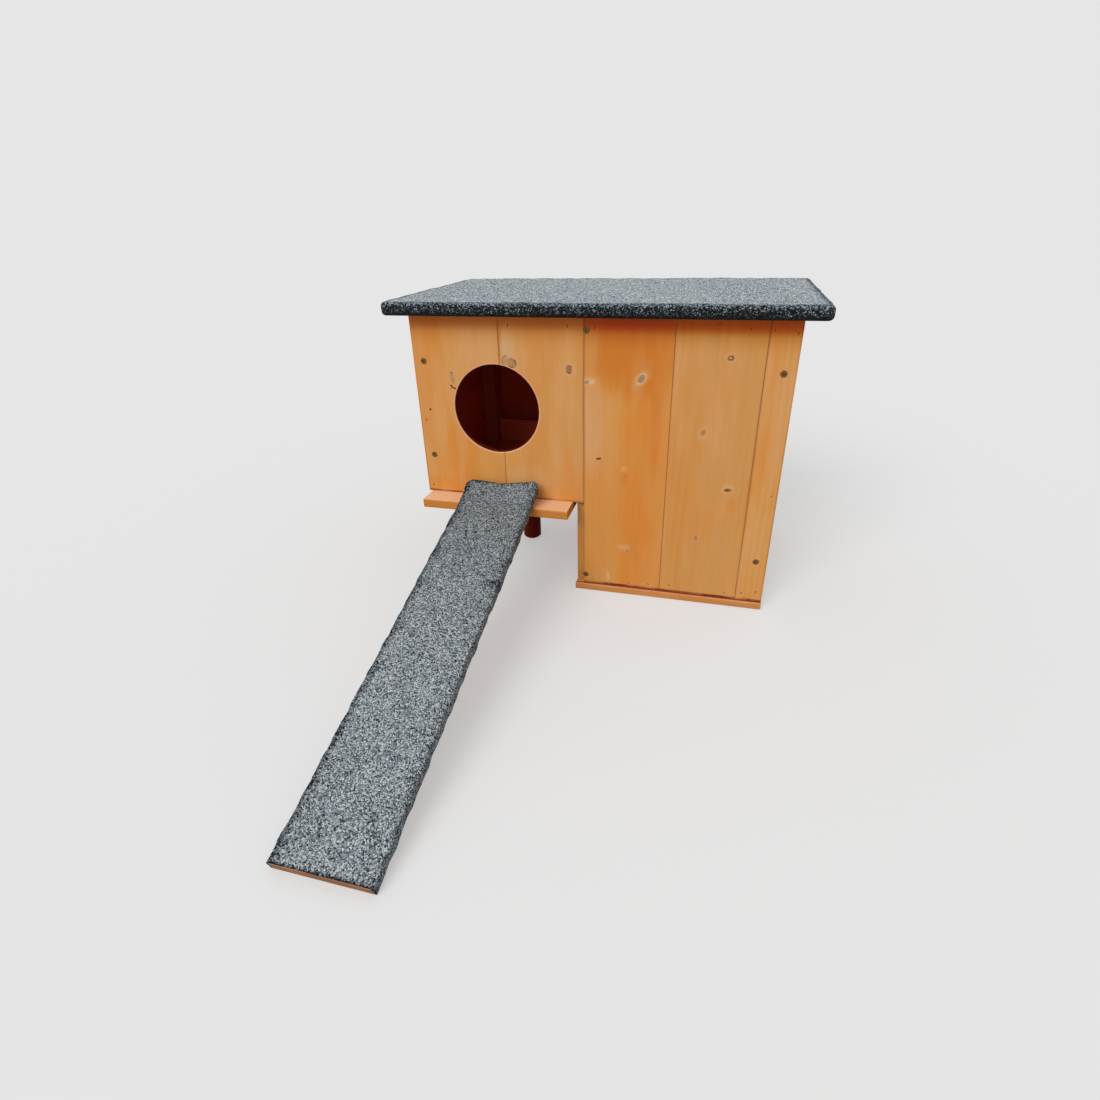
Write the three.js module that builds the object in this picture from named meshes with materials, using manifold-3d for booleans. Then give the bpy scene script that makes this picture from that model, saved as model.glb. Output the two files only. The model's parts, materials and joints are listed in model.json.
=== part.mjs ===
// A duck house of tongue-and-groove boards: a deep nest box that stands on the ground, a raised
// entry porch on its left, one felt-covered lid over both, and a felt-covered ramp.
// Millimetres, +X to the right, +Y to the back, +Z up. The origin is on the ground, in the
// middle of the house's footprint, which lies on the underside of the nest's base panel.
import * as THREE from 'three';
import { mergeVertices } from 'three/addons/utils/BufferGeometryUtils.js';
import Module from 'manifold-3d';

// Whole house
const houseWidth = 600;
const houseDepth = 334;
const lidUnderside = 478;
const seatGap = 0.3;
const cutOverrun = 2;

// Wall boards, with a tongue on one edge, a groove on the other and a V where they meet
const wallBoard = 12;
const boardCover = 136;
const narrowestRip = 20;
const boardSeam = 0.3;
const seamChamfer = 1;
const tongueThickness = 4;
const tongueLength = 5;
const grooveDepth = 6;
const tonguePlay = 0.3;

// Battens that make the frame
const battenThickness = 24;
const battenWidth = 48;

// Entry porch
const entryWidth = 288;
const entryFloorTop = 171;
const entryFirstBoard = 150;
const floorBoard = 16;
const floorInset = 5.5;
const ledgeDepth = 41;
const ledgeEndGap = 5;
const ledgeNosing = 3;
const entranceRadius = 73.8;
const entranceFromLeft = 139.5;
const entranceHeight = 326.5;
const holeChamfer = 0.8;

// Nest box
const panelSeam = 0.6;
const nestFirstBoard = 137;
const nestSecondBoard = 131;
const basePanel = 12;
const baseFrontLip = 5;
const baseNosing = 2;
const nestWallShown = 14;
const footGap = 1.5;
const passageRadius = 70;

// Leg under the porch
const legRadius = 18.5;
const legFootChamfer = 4;
const legFromLeft = 135;
const legFromFront = 186;

// Screws through the front boards into the posts
const screwHeadRadius = 5.2;
const screwHeadDepth = 3.4;
const screwShankRadius = 2;
const screwTipLength = 5;
const screwLength = 45;
const screwSink = 0.4;
const screwPlay = 0.2;
const screwFromPostSide = 5.5;
const entryScrewShares = [0.225, 0.753];
const middleScrewShares = [0.034, 0.952];
const rightScrewShares = [0.164, 0.832];

// Lid
const lidFrontOverhang = 34;
const lidSideOverhang = 34;
const lidBackOverhang = 24;
const lidBoard = 16;
const lidBattenPlay = 4;
const feltThickness = 3.2;
const feltEdgeRound = 6;
const feltCornerRadius = 12;

// Lid hinges
const hingeLength = 60;
const hingeFromSide = 110;
const knuckleRadius = 3.2;
const pinRadius = 1.6;
const pinPlay = 0.1;
const leafThickness = 1.5;
const wallLeafWidth = 20;
const lidLeafWidth = 16;
const middleKnuckle = 24;
const hingeHoleRadius = 2;
const hingeHoleFromEnd = 10;
const hingeHoleFromRim = 6;

// Ramp
const rampLength = 653;
const rampLap = 35;
const rampWidth = 128;
const rampFromLeft = 146;
const rampBoard = 14;
const rampCorner = 18;
const rampFelt = 3;
const rampFeltRound = 2.4;
const cleatThickness = 12;
const cleatWidth = 40;
const cleatInset = 22;

// Facet counts of the round forms
const holeSegments = 48;
const legSegments = 28;
const screwSegments = 16;
const pinSegments = 16;
const arcSegments = 3;

// Planes that several pieces share
const left = -houseWidth / 2;
const right = houseWidth / 2;
const front = -houseDepth / 2;
const back = houseDepth / 2;
const wallTop = lidUnderside - seatGap;
const insideFront = front + wallBoard + seatGap;
const insideBack = back - wallBoard - seatGap;
const entryRight = left + entryWidth;
const nestLeft = entryRight - nestWallShown;
const entryFoot = entryFloorTop + seatGap;
const nestFoot = basePanel + seatGap;
const nestBoardFoot = basePanel + footGap;

const woodLook = { color: 0xd4924d, roughness: 0.6, metalness: 0 };
const frameLook = { color: 0xc58246, roughness: 0.7, metalness: 0 };
const legLook = { color: 0x7a3a22, roughness: 0.7, metalness: 0 };
const feltLook = { color: 0x59636c, roughness: 1, metalness: 0 };
const screwLook = { color: 0x6d6454, roughness: 0.45, metalness: 0.9 };
const hingeLook = { color: 0x9aa0a4, roughness: 0.4, metalness: 0.9 };

const wasm = await Module();
wasm.setup();

const duckHouse = new THREE.Group();
duckHouse.name = 'duck_house';

function addPart(name, geometry, look, parent = duckHouse) {
  const mesh = new THREE.Mesh(geometry, new THREE.MeshStandardMaterial(look));
  mesh.name = name;
  parent.add(mesh);
  return mesh;
}

// Solid of a closed geometry, ready to be joined or cut
function toSolid(geometry) {
  const bare = geometry.index ? geometry.toNonIndexed() : geometry.clone();
  bare.deleteAttribute('normal');
  bare.deleteAttribute('uv');
  const welded = mergeVertices(bare);
  const vertProperties = new Float32Array(welded.attributes.position.array);
  const triVerts = new Uint32Array(welded.index.array);
  return new wasm.Manifold(new wasm.Mesh({ numProp: 3, vertProperties, triVerts }));
}

function toGeometry(solid) {
  const mesh = solid.getMesh();
  const geometry = new THREE.BufferGeometry();
  geometry.setAttribute('position', new THREE.BufferAttribute(mesh.vertProperties, 3));
  geometry.setIndex(new THREE.BufferAttribute(mesh.triVerts, 1));
  geometry.computeVertexNormals();
  return geometry;
}

function cut(geometry, cutters) {
  const cutSolid = cutters.reduce((solid, cutter) => solid.subtract(toSolid(cutter)), toSolid(geometry));
  return toGeometry(cutSolid);
}

// Part of a solid that lies inside another one
function within(geometry, room) {
  return toGeometry(toSolid(geometry).intersect(toSolid(room)));
}

function join(geometries) {
  return toGeometry(geometries.map(toSolid).reduce((whole, piece) => whole.add(piece)));
}

function block(x0, x1, y0, y1, z0, z1) {
  const geometry = new THREE.BoxGeometry(x1 - x0, y1 - y0, z1 - z0);
  return geometry.translate((x0 + x1) / 2, (y0 + y1) / 2, (z0 + z1) / 2);
}

// Cylinder whose axis runs along +X from x0 to x1
function rodAlongX(radius, x0, x1, y, z) {
  const rod = new THREE.CylinderGeometry(radius, radius, x1 - x0, pinSegments);
  return rod.rotateZ(Math.PI / 2).translate((x0 + x1) / 2, y, z);
}

// Board section: x across the board from its first edge, y from its face to its back. An edge
// is 'groove' (first), 'tongue' (last), 'plain' or 'round', which is a nosing on both arrises.
function boardSection(width, thickness, firstEdge, lastEdge, nosing = 0) {
  const section = new THREE.Shape();
  const tongueFront = (thickness - tongueThickness) / 2;
  const tongueBack = tongueFront + tongueThickness;
  const jointed = edge => edge === 'groove' || edge === 'tongue';
  const firstChamfer = jointed(firstEdge) ? seamChamfer : 0;
  const lastChamfer = jointed(lastEdge) ? seamChamfer : 0;
  section.moveTo(firstEdge === 'round' ? nosing : firstChamfer, 0);
  section.lineTo(width - lastChamfer, 0);
  if (lastChamfer) {
    section.lineTo(width, lastChamfer);
  }
  if (lastEdge === 'tongue') {
    section.lineTo(width, tongueFront);
    section.lineTo(width + tongueLength, tongueFront);
    section.lineTo(width + tongueLength, tongueBack);
    section.lineTo(width, tongueBack);
  }
  section.lineTo(width, thickness);
  if (firstEdge === 'round') {
    section.lineTo(nosing, thickness);
    section.absarc(nosing, thickness - nosing, nosing, Math.PI / 2, Math.PI, false);
    section.lineTo(0, nosing);
    section.absarc(nosing, nosing, nosing, Math.PI, Math.PI * 3 / 2, false);
    return section;
  }
  section.lineTo(0, thickness);
  if (firstEdge === 'groove') {
    section.lineTo(0, tongueBack + tonguePlay);
    section.lineTo(grooveDepth, tongueBack + tonguePlay);
    section.lineTo(grooveDepth, tongueFront - tonguePlay);
    section.lineTo(0, tongueFront - tonguePlay);
  }
  if (firstChamfer) {
    section.lineTo(0, firstChamfer);
  }
  return section;
}

// Widths of the boards that fill a run: full covers, then the ripped rest
function coverRun(run) {
  const fullBoards = Math.max(Math.floor(run / boardCover), 1);
  const widths = new Array(fullBoards).fill(boardCover);
  const rest = run - fullBoards * boardCover;
  if (rest > narrowestRip) {
    widths.push(rest);
  } else {
    widths[fullBoards - 1] += rest;
  }
  return widths;
}

// Lays boards side by side from a corner. across, inward and along are unit axes of the wall:
// across goes from board to board, inward from the face to the back, along down the length.
function layBoards(wall) {
  const basis = new THREE.Matrix4().makeBasis(wall.across, wall.inward, wall.along);
  let place = 0;
  return wall.widths.map((width, index) => {
    const first = index === 0 ? wall.firstEdge ?? 'plain' : 'groove';
    const last = index === wall.widths.length - 1 ? 'plain' : 'tongue';
    const body = last === 'tongue' ? width - boardSeam : width;
    const section = boardSection(body, wall.thickness, first, last, wall.nosing);
    const depth = wall.lengths ? wall.lengths[index] : wall.length;
    const board = new THREE.ExtrudeGeometry(section, {
      depth, bevelEnabled: false, curveSegments: arcSegments,
    });
    const corner = wall.corner.clone().addScaledVector(wall.across, place);
    place += width;
    return board.applyMatrix4(basis).translate(corner.x, corner.y, corner.z);
  });
}

const xAxis = new THREE.Vector3(1, 0, 0);
const yAxis = new THREE.Vector3(0, 1, 0);
const zAxis = new THREE.Vector3(0, 0, 1);
const at = (x, y, z) => new THREE.Vector3(x, y, z);

// Round hole with a light chamfer on both faces, as a solid along its axis from 0 to the depth
function holeCutter(radius, depth) {
  const flare = holeChamfer + cutOverrun;
  const profile = [
    new THREE.Vector2(0, -cutOverrun),
    new THREE.Vector2(radius + flare, -cutOverrun),
    new THREE.Vector2(radius, holeChamfer),
    new THREE.Vector2(radius, depth - holeChamfer),
    new THREE.Vector2(radius + flare, depth + cutOverrun),
    new THREE.Vector2(0, depth + cutOverrun),
  ];
  return new THREE.LatheGeometry(profile, holeSegments);
}

// Countersunk screw along +Y with its head's face at 0; play widens it into its own hole
function screwSolid(play, headRun) {
  const profile = [
    new THREE.Vector2(0, -headRun),
    new THREE.Vector2(screwHeadRadius + play, -headRun),
    new THREE.Vector2(screwHeadRadius + play, play),
    new THREE.Vector2(screwShankRadius + play, screwHeadDepth + play),
    new THREE.Vector2(screwShankRadius + play, screwLength - screwTipLength + play),
    new THREE.Vector2(0, screwLength + play),
  ];
  return new THREE.LatheGeometry(profile, screwSegments);
}

// Posts stand upright in the corners, their narrow side towards the front
const postSides = {
  entry_left: left + wallBoard + seatGap,
  nest_left: nestLeft + wallBoard + seatGap,
  nest_right: right - wallBoard - seatGap - battenThickness,
};
const postInner = side => postSides[side] + battenThickness;

function screwPlaces() {
  const entryHeight = wallTop - entryFoot;
  const nestHeight = wallTop - nestBoardFoot;
  const rows = [
    ['left', postSides.entry_left + screwFromPostSide, entryFoot, entryHeight, entryScrewShares],
    ['middle', postSides.nest_left + screwFromPostSide, nestBoardFoot, nestHeight, middleScrewShares],
    ['right', postInner('nest_right') - screwFromPostSide, nestBoardFoot, nestHeight, rightScrewShares],
  ];
  return rows.flatMap(([side, x, foot, height, shares]) => shares.map((share, index) => {
    return { name: `front_screw_${side}_${index + 1}`, x, z: foot + height * share };
  }));
}

const screws = screwPlaces();
const screwY = front + screwSink;
const screwCutters = screws.map(({ x, z }) => {
  return screwSolid(screwPlay, screwSink + cutOverrun).translate(x, screwY, z);
});

function buildFrame() {
  for (const [side, x] of Object.entries(postSides)) {
    const foot = side === 'entry_left' ? entryFoot : nestFoot;
    const frontPost = block(x, x + battenThickness, insideFront, insideFront + battenWidth, foot, wallTop);
    addPart(`${side}_front_post`, cut(frontPost, screwCutters), frameLook);
    const backPost = block(x, x + battenThickness, insideBack - battenWidth, insideBack, foot, wallTop);
    addPart(`${side}_back_post`, backPost, frameLook);
  }
  // Rails lie flat against the boards between the posts
  const entrySpan = [postInner('entry_left') + seatGap, nestLeft - seatGap];
  const nestSpan = [postInner('nest_left') + seatGap, postSides.nest_right - seatGap];
  const frontFaces = [insideFront, insideFront + battenThickness];
  const backFaces = [insideBack - battenThickness, insideBack];
  const topRail = [wallTop - battenWidth, wallTop];
  const entryLow = [entryFoot, entryFoot + battenWidth];
  const nestLow = [nestFoot, nestFoot + battenWidth];
  addPart('entry_front_top_rail', block(...entrySpan, ...frontFaces, ...topRail), frameLook);
  addPart('entry_back_top_rail', block(...entrySpan, ...backFaces, ...topRail), frameLook);
  addPart('entry_back_bottom_rail', block(...entrySpan, ...backFaces, ...entryLow), frameLook);
  addPart('nest_front_top_rail', block(...nestSpan, ...frontFaces, ...topRail), frameLook);
  addPart('nest_front_bottom_rail', block(...nestSpan, ...frontFaces, ...nestLow), frameLook);
  addPart('nest_back_top_rail', block(...nestSpan, ...backFaces, ...topRail), frameLook);
  addPart('nest_back_bottom_rail', block(...nestSpan, ...backFaces, ...nestLow), frameLook);
}

// Upright boards on the front and the back
const entryWidths = [entryFirstBoard, entryWidth - entryFirstBoard];
const nestPanel = houseWidth - entryWidth - panelSeam;
const nestWidths = [nestFirstBoard, nestSecondBoard, nestPanel - nestFirstBoard - nestSecondBoard];

function buildFront() {
  const hole = holeCutter(entranceRadius, wallBoard)
    .translate(left + entranceFromLeft, front, entranceHeight);
  const wall = { across: xAxis, inward: yAxis, along: zAxis, thickness: wallBoard };
  const entry = layBoards({
    ...wall, widths: entryWidths, length: wallTop - entryFoot, corner: at(left, front, entryFoot),
  });
  entry.forEach((board, index) => {
    addPart(`entry_front_board_${index + 1}`, cut(board, [hole, ...screwCutters]), woodLook);
  });
  const nest = layBoards({
    ...wall, widths: nestWidths, length: wallTop - nestBoardFoot,
    corner: at(entryRight + panelSeam, front, nestBoardFoot),
  });
  nest.forEach((board, index) => {
    addPart(`nest_front_board_${index + 1}`, cut(board, screwCutters), woodLook);
  });
}

function buildBack() {
  const wall = {
    across: xAxis.clone().negate(), inward: yAxis.clone().negate(), along: zAxis, thickness: wallBoard,
  };
  const entry = layBoards({
    ...wall, widths: [...entryWidths].reverse(), length: wallTop - entryFoot,
    corner: at(entryRight, back, entryFoot),
  });
  entry.forEach((board, index) => addPart(`entry_back_board_${index + 1}`, board, woodLook));
  const nest = layBoards({
    ...wall, widths: [...nestWidths].reverse(), length: wallTop - nestBoardFoot,
    corner: at(right, back, nestBoardFoot),
  });
  nest.forEach((board, index) => addPart(`nest_back_board_${index + 1}`, board, woodLook));
}

// Lying boards on the sides, tongues up, between the front and the back boards
function buildSides() {
  const length = insideBack - insideFront;
  const entry = layBoards({
    across: zAxis, inward: xAxis, along: yAxis, thickness: wallBoard, length,
    widths: coverRun(wallTop - entryFoot), corner: at(left, insideFront, entryFoot),
  });
  entry.forEach((board, index) => addPart(`left_side_board_${index + 1}`, board, woodLook));
  const nestRows = coverRun(wallTop - nestFoot);
  const nest = layBoards({
    across: zAxis, inward: xAxis.clone().negate(), along: yAxis.clone().negate(),
    thickness: wallBoard, length, widths: nestRows, corner: at(right, insideBack, nestFoot),
  });
  nest.forEach((board, index) => addPart(`right_side_board_${index + 1}`, board, woodLook));

  // The wall between the porch and the nest has a round passage on the seam of its middle boards
  const passage = holeCutter(passageRadius, wallBoard).rotateZ(-Math.PI / 2)
    .translate(nestLeft, 0, nestFoot + nestRows[0] + nestRows[1]);
  const inner = layBoards({
    across: zAxis, inward: xAxis, along: yAxis, thickness: wallBoard, length,
    widths: nestRows, corner: at(nestLeft, insideFront, nestFoot),
  });
  inner.forEach((board, index) => {
    addPart(`inner_wall_board_${index + 1}`, cut(board, [passage]), woodLook);
  });
}

// The porch floor runs out under the front boards as a ledge; the nest has one base panel
function buildFloors() {
  const fullLength = nestLeft - seatGap - (left + floorInset);
  const widths = coverRun(ledgeDepth + houseDepth);
  const floor = layBoards({
    across: yAxis, inward: zAxis.clone().negate(), along: xAxis.clone().negate(), thickness: floorBoard,
    widths, lengths: widths.map((width, index) => (index === 0 ? fullLength - ledgeEndGap : fullLength)),
    corner: at(0, front - ledgeDepth, entryFloorTop), firstEdge: 'round', nosing: ledgeNosing,
  });
  floor.forEach((board, index) => {
    const rightEnd = index === 0 ? nestLeft - seatGap - ledgeEndGap : nestLeft - seatGap;
    const name = index === 0 ? 'entry_ledge_board' : `entry_floor_board_${index}`;
    addPart(name, board.translate(rightEnd, 0, 0), woodLook);
  });

  const baseSection = boardSection(houseDepth + baseFrontLip, basePanel, 'round', 'plain', baseNosing);
  const baseLength = right - nestLeft;
  const base = new THREE.ExtrudeGeometry(baseSection, {
    depth: baseLength, bevelEnabled: false, curveSegments: arcSegments,
  });
  const turned = new THREE.Matrix4().makeBasis(yAxis, zAxis, xAxis);
  addPart('base_panel', base.applyMatrix4(turned).translate(nestLeft, front - baseFrontLip, 0), woodLook);
}

function buildLeg() {
  const top = entryFloorTop - floorBoard - seatGap;
  const profile = [
    new THREE.Vector2(0, 0),
    new THREE.Vector2(legRadius - legFootChamfer, 0),
    new THREE.Vector2(legRadius, legFootChamfer),
    new THREE.Vector2(legRadius, top),
    new THREE.Vector2(0, top),
  ];
  const leg = new THREE.LatheGeometry(profile, legSegments).rotateX(Math.PI / 2);
  addPart('porch_leg', leg.translate(left + legFromLeft, front + legFromFront, 0), legLook);
}

function buildScrews() {
  for (const { name, x, z } of screws) {
    addPart(name, screwSolid(0, 0).translate(x, screwY, z), screwLook);
  }
}

// Lid: boards from side to side, two battens that drop between the walls, and the felt over all
const lidLeft = left - lidSideOverhang;
const lidRight = right + lidSideOverhang;
const lidFront = front - lidFrontOverhang;
const lidBack = back + lidBackOverhang;
const feltReach = feltThickness + seatGap;

// Lid's outline drawn in by a distance, as a slab with round corners and a rounded top arris
function lidSlab(inset, bottom, top) {
  return roundedSlab(
    lidRight - lidLeft - inset * 2, lidBack - lidFront - inset * 2, top - bottom,
    feltCornerRadius - inset, feltEdgeRound - inset,
  ).translate(lidLeft + inset, lidFront + inset, bottom);
}

function buildLid() {
  const widths = coverRun(lidBack - lidFront - feltReach * 2);
  const boards = layBoards({
    across: yAxis, inward: zAxis, along: xAxis, thickness: lidBoard, widths,
    length: lidRight - lidLeft - feltReach * 2,
    corner: at(lidLeft + feltReach, lidFront + feltReach, lidUnderside),
  });
  const boardRoom = lidSlab(feltReach, lidUnderside, lidUnderside + lidBoard);
  boards.forEach((board, index) => {
    addPart(`lid_board_${index + 1}`, within(board, boardRoom), woodLook);
  });

  const battenFront = insideFront + battenThickness + lidBattenPlay;
  const battenBack = insideBack - battenThickness - lidBattenPlay;
  const battenBottom = lidUnderside - seatGap - battenThickness;
  const places = {
    left: postInner('entry_left') + lidBattenPlay,
    right: postSides.nest_right - lidBattenPlay - battenWidth,
  };
  for (const [side, x] of Object.entries(places)) {
    const batten = block(x, x + battenWidth, battenFront, battenBack, battenBottom, lidUnderside - seatGap);
    addPart(`lid_batten_${side}`, batten, frameLook);
  }

  const feltTop = lidUnderside + lidBoard + feltReach;
  const sheet = lidSlab(0, lidUnderside, feltTop);
  const feltRoom = lidSlab(feltThickness, lidUnderside - cutOverrun, feltTop - feltThickness);
  addPart('lid_felt', cut(sheet, [feltRoom]), feltLook);
}

// Slab from the origin with round upright corners and a smaller rounding on its top arris
function roundedSlab(width, depth, height, corner, arris) {
  const plan = new THREE.Shape();
  const turn = corner - arris;
  plan.absarc(corner, corner, turn, Math.PI, Math.PI * 3 / 2, false);
  plan.absarc(width - corner, corner, turn, -Math.PI / 2, 0, false);
  plan.absarc(width - corner, depth - corner, turn, 0, Math.PI / 2, false);
  plan.absarc(corner, depth - corner, turn, Math.PI / 2, Math.PI, false);
  const slab = new THREE.ExtrudeGeometry(plan, {
    depth: height - arris, bevelEnabled: true, bevelThickness: arris, bevelSize: arris,
    bevelSegments: arcSegments, curveSegments: arcSegments,
  });
  const under = block(
    -cutOverrun, width + cutOverrun, -cutOverrun, depth + cutOverrun, -arris - cutOverrun, 0,
  );
  return cut(slab, [under]);
}

// Butt hinges: one leaf on the back wall, one under the lid's overhang, on a common pin
const pinY = back + seatGap + knuckleRadius;
const pinZ = lidUnderside - seatGap - knuckleRadius;

function buildHinge(side, centre) {
  const x0 = centre - hingeLength / 2;
  const x1 = centre + hingeLength / 2;
  const middle0 = centre - middleKnuckle / 2;
  const middle1 = centre + middleKnuckle / 2;
  const bore = rodAlongX(pinRadius + pinPlay, x0 - cutOverrun, x1 + cutOverrun, pinY, pinZ);
  const clear = knuckleRadius + seatGap;
  const holesX = [x0 + hingeHoleFromEnd, x1 - hingeHoleFromEnd];
  const drillLength = leafThickness + cutOverrun * 2;
  const drill = () => {
    return new THREE.CylinderGeometry(hingeHoleRadius, hingeHoleRadius, drillLength, pinSegments);
  };

  const wallIn = pinY - knuckleRadius;
  const wallOut = wallIn + leafThickness;
  const wallRim = pinZ - wallLeafWidth;
  const outer = [[x0, middle0 - seatGap], [middle1 + seatGap, x1]];
  const wallPieces = outer.flatMap(([a, b]) => [
    rodAlongX(knuckleRadius, a, b, pinY, pinZ),
    block(a, b, wallIn, wallOut, wallRim, pinZ),
  ]);
  wallPieces.push(block(x0, x1, wallIn, wallOut, wallRim, pinZ - clear));
  const wallHoles = holesX.map(x => {
    return drill().translate(x, (wallIn + wallOut) / 2, wallRim + hingeHoleFromRim);
  });
  addPart(`hinge_wall_leaf_${side}`, cut(join(wallPieces), [bore, ...wallHoles]), hingeLook);

  const lidUp = pinZ + knuckleRadius;
  const lidDown = lidUp - leafThickness;
  const lidRim = pinY + lidLeafWidth;
  const lidPieces = [
    rodAlongX(knuckleRadius, middle0, middle1, pinY, pinZ),
    block(middle0, middle1, pinY, lidRim, lidDown, lidUp),
    block(x0, x1, pinY + clear, lidRim, lidDown, lidUp),
  ];
  const lidHoles = holesX.map(x => {
    return drill().rotateX(Math.PI / 2).translate(x, lidRim - hingeHoleFromRim, (lidUp + lidDown) / 2);
  });
  addPart(`hinge_lid_leaf_${side}`, cut(join(lidPieces), [bore, ...lidHoles]), hingeLook);
  addPart(`hinge_pin_${side}`, rodAlongX(pinRadius, x0, x1, pinY, pinZ), hingeLook);
}

// Ramp: it lies on the ledge's round nosing and on the ground. Its own frame starts at the
// foot's lower edge, with y up the slope and z square to it; the foot is cut square.
function buildRamp() {
  const nosingReach = ledgeNosing + seatGap;
  const nosingY = front - ledgeDepth + ledgeNosing;
  const nosingZ = entryFloorTop - ledgeNosing;
  const toNosing = rampLength - rampLap;
  const slope = Math.asin(nosingZ / Math.hypot(toNosing, nosingReach)) + Math.atan2(nosingReach, toNosing);
  const footY = nosingY - toNosing * Math.cos(slope) - nosingReach * Math.sin(slope);
  const ramp = new THREE.Group();
  ramp.position.set(left + rampFromLeft, footY, 0);
  ramp.rotation.x = slope;
  duckHouse.add(ramp);

  const half = rampWidth / 2;
  const height = rampBoard + seatGap + rampFelt;
  const reach = rampFelt + seatGap;
  const beyondFoot = block(-rampWidth, rampWidth, -rampLength, 0, -rampWidth, rampWidth);
  const sheet = rampSlab(half, rampLength, height, rampCorner, rampFeltRound);
  const boardRoom = rampSlab(
    half - rampFelt, rampLength - rampFelt, rampBoard + seatGap, rampCorner - rampFelt, 0,
  );
  addPart('ramp_felt', cut(sheet, [boardRoom, beyondFoot]), feltLook, ramp);
  const board = rampSlab(half - reach, rampLength - reach, rampBoard, rampCorner - reach, 0);
  addPart('ramp_board', cut(board, [beyondFoot]), woodLook, ramp);

  // The cleat stops against the ledge's front, clear of its lower arris
  const cleatTop = toNosing - nosingReach - (floorBoard - ledgeNosing * 2) * Math.sin(slope);
  const cleat = block(cleatInset - half, half - cleatInset, cleatTop - cleatWidth, cleatTop,
    -seatGap - cleatThickness, -seatGap);
  addPart('ramp_cleat', cleat, frameLook, ramp);
}

// Slab on the ramp's underside plane, with round corners at its top end. It runs on past the
// foot, where it is cut square.
function rampSlab(half, length, height, corner, arris) {
  const plan = new THREE.Shape();
  const foot = -arris - cutOverrun;
  const side = half - arris;
  const end = length - arris;
  plan.moveTo(-side, foot);
  plan.lineTo(side, foot);
  plan.lineTo(side, end - corner);
  plan.absarc(side - corner, end - corner, corner, 0, Math.PI / 2, false);
  plan.lineTo(corner - side, end);
  plan.absarc(corner - side, end - corner, corner, Math.PI / 2, Math.PI, false);
  if (arris === 0) {
    return new THREE.ExtrudeGeometry(plan, {
      depth: height, bevelEnabled: false, curveSegments: arcSegments,
    });
  }
  const slab = new THREE.ExtrudeGeometry(plan, {
    depth: height - arris, bevelEnabled: true, bevelThickness: arris, bevelSize: arris,
    bevelSegments: arcSegments, curveSegments: arcSegments,
  });
  const wide = half + cutOverrun;
  return cut(slab, [block(-wide, wide, foot - wide, length + cutOverrun, -arris - cutOverrun, 0)]);
}

buildFloors();
buildFrame();
buildFront();
buildBack();
buildSides();
buildLeg();
buildScrews();
buildLid();
buildHinge('left', left + hingeFromSide);
buildHinge('right', right - hingeFromSide);
buildRamp();

export default duckHouse;
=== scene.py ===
import json
import math

import bmesh
import bpy
import numpy as np
from mathutils import Matrix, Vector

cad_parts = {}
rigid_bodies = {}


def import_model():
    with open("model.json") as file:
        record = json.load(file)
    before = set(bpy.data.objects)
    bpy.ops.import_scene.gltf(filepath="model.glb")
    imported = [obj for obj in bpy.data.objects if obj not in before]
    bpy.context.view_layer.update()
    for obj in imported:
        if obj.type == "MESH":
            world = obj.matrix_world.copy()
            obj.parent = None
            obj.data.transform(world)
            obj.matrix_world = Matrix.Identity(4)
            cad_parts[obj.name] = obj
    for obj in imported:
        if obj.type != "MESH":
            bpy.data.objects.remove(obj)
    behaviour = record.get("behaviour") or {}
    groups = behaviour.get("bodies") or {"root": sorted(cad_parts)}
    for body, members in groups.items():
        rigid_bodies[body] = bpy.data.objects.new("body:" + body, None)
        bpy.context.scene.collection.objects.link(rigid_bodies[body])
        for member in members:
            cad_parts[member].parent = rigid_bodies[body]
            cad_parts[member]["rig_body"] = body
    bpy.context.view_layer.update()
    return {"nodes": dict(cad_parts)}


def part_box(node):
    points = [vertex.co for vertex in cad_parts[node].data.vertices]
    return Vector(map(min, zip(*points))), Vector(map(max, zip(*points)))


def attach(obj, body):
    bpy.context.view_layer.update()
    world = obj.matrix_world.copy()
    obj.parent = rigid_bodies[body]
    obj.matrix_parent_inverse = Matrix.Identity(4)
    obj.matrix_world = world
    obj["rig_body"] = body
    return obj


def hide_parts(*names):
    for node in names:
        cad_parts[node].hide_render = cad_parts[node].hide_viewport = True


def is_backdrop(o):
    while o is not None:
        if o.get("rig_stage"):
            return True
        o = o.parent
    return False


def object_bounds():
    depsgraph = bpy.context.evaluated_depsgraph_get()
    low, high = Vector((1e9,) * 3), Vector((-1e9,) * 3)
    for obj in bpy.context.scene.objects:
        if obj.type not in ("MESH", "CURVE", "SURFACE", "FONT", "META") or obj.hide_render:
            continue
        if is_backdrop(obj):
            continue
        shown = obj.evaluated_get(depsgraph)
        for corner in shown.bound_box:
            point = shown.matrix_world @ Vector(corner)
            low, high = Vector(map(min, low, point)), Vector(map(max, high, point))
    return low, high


# A duck house of tongue-and-groove boards with a raised porch, a felt-covered lid and a ramp. The
# sections follow the order in which the house is put together. Metres, +X right, +Y back, +Z up.
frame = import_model()
nodes = frame["nodes"]


# Base panel
# The nest stands on one planed softwood panel whose front edge is rounded over. It is glued up
# from wide strips, stained honey like the rest and screwed to the battens from below.
mm = 0.001
early_wood = (207, 144, 73)
late_tint = (228, 227, 216)
blush_wood = (209, 152, 94)
glow_wood = (206, 130, 54)
# Arrises are paler: partly worn wood, partly a painted highlight.
worn_and_lit_arris_wood = (222, 162, 112)
# The rooms' darker red-brown is partly a stain and partly painted shade of the closed rooms.
inside_stain_and_shade_tint = (232, 124, 134)
bore_shade_wood = (88, 24, 12)
bore_highlight_wood = (228, 164, 124)
base_wood = (186, 118, 66)
# The base's top face is paler: partly paler wood, partly painted light from above.
base_paler_and_lit_top_wood = (216, 154, 110)
wood_shine = 0.25
board_arris = 0.5 * mm
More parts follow.
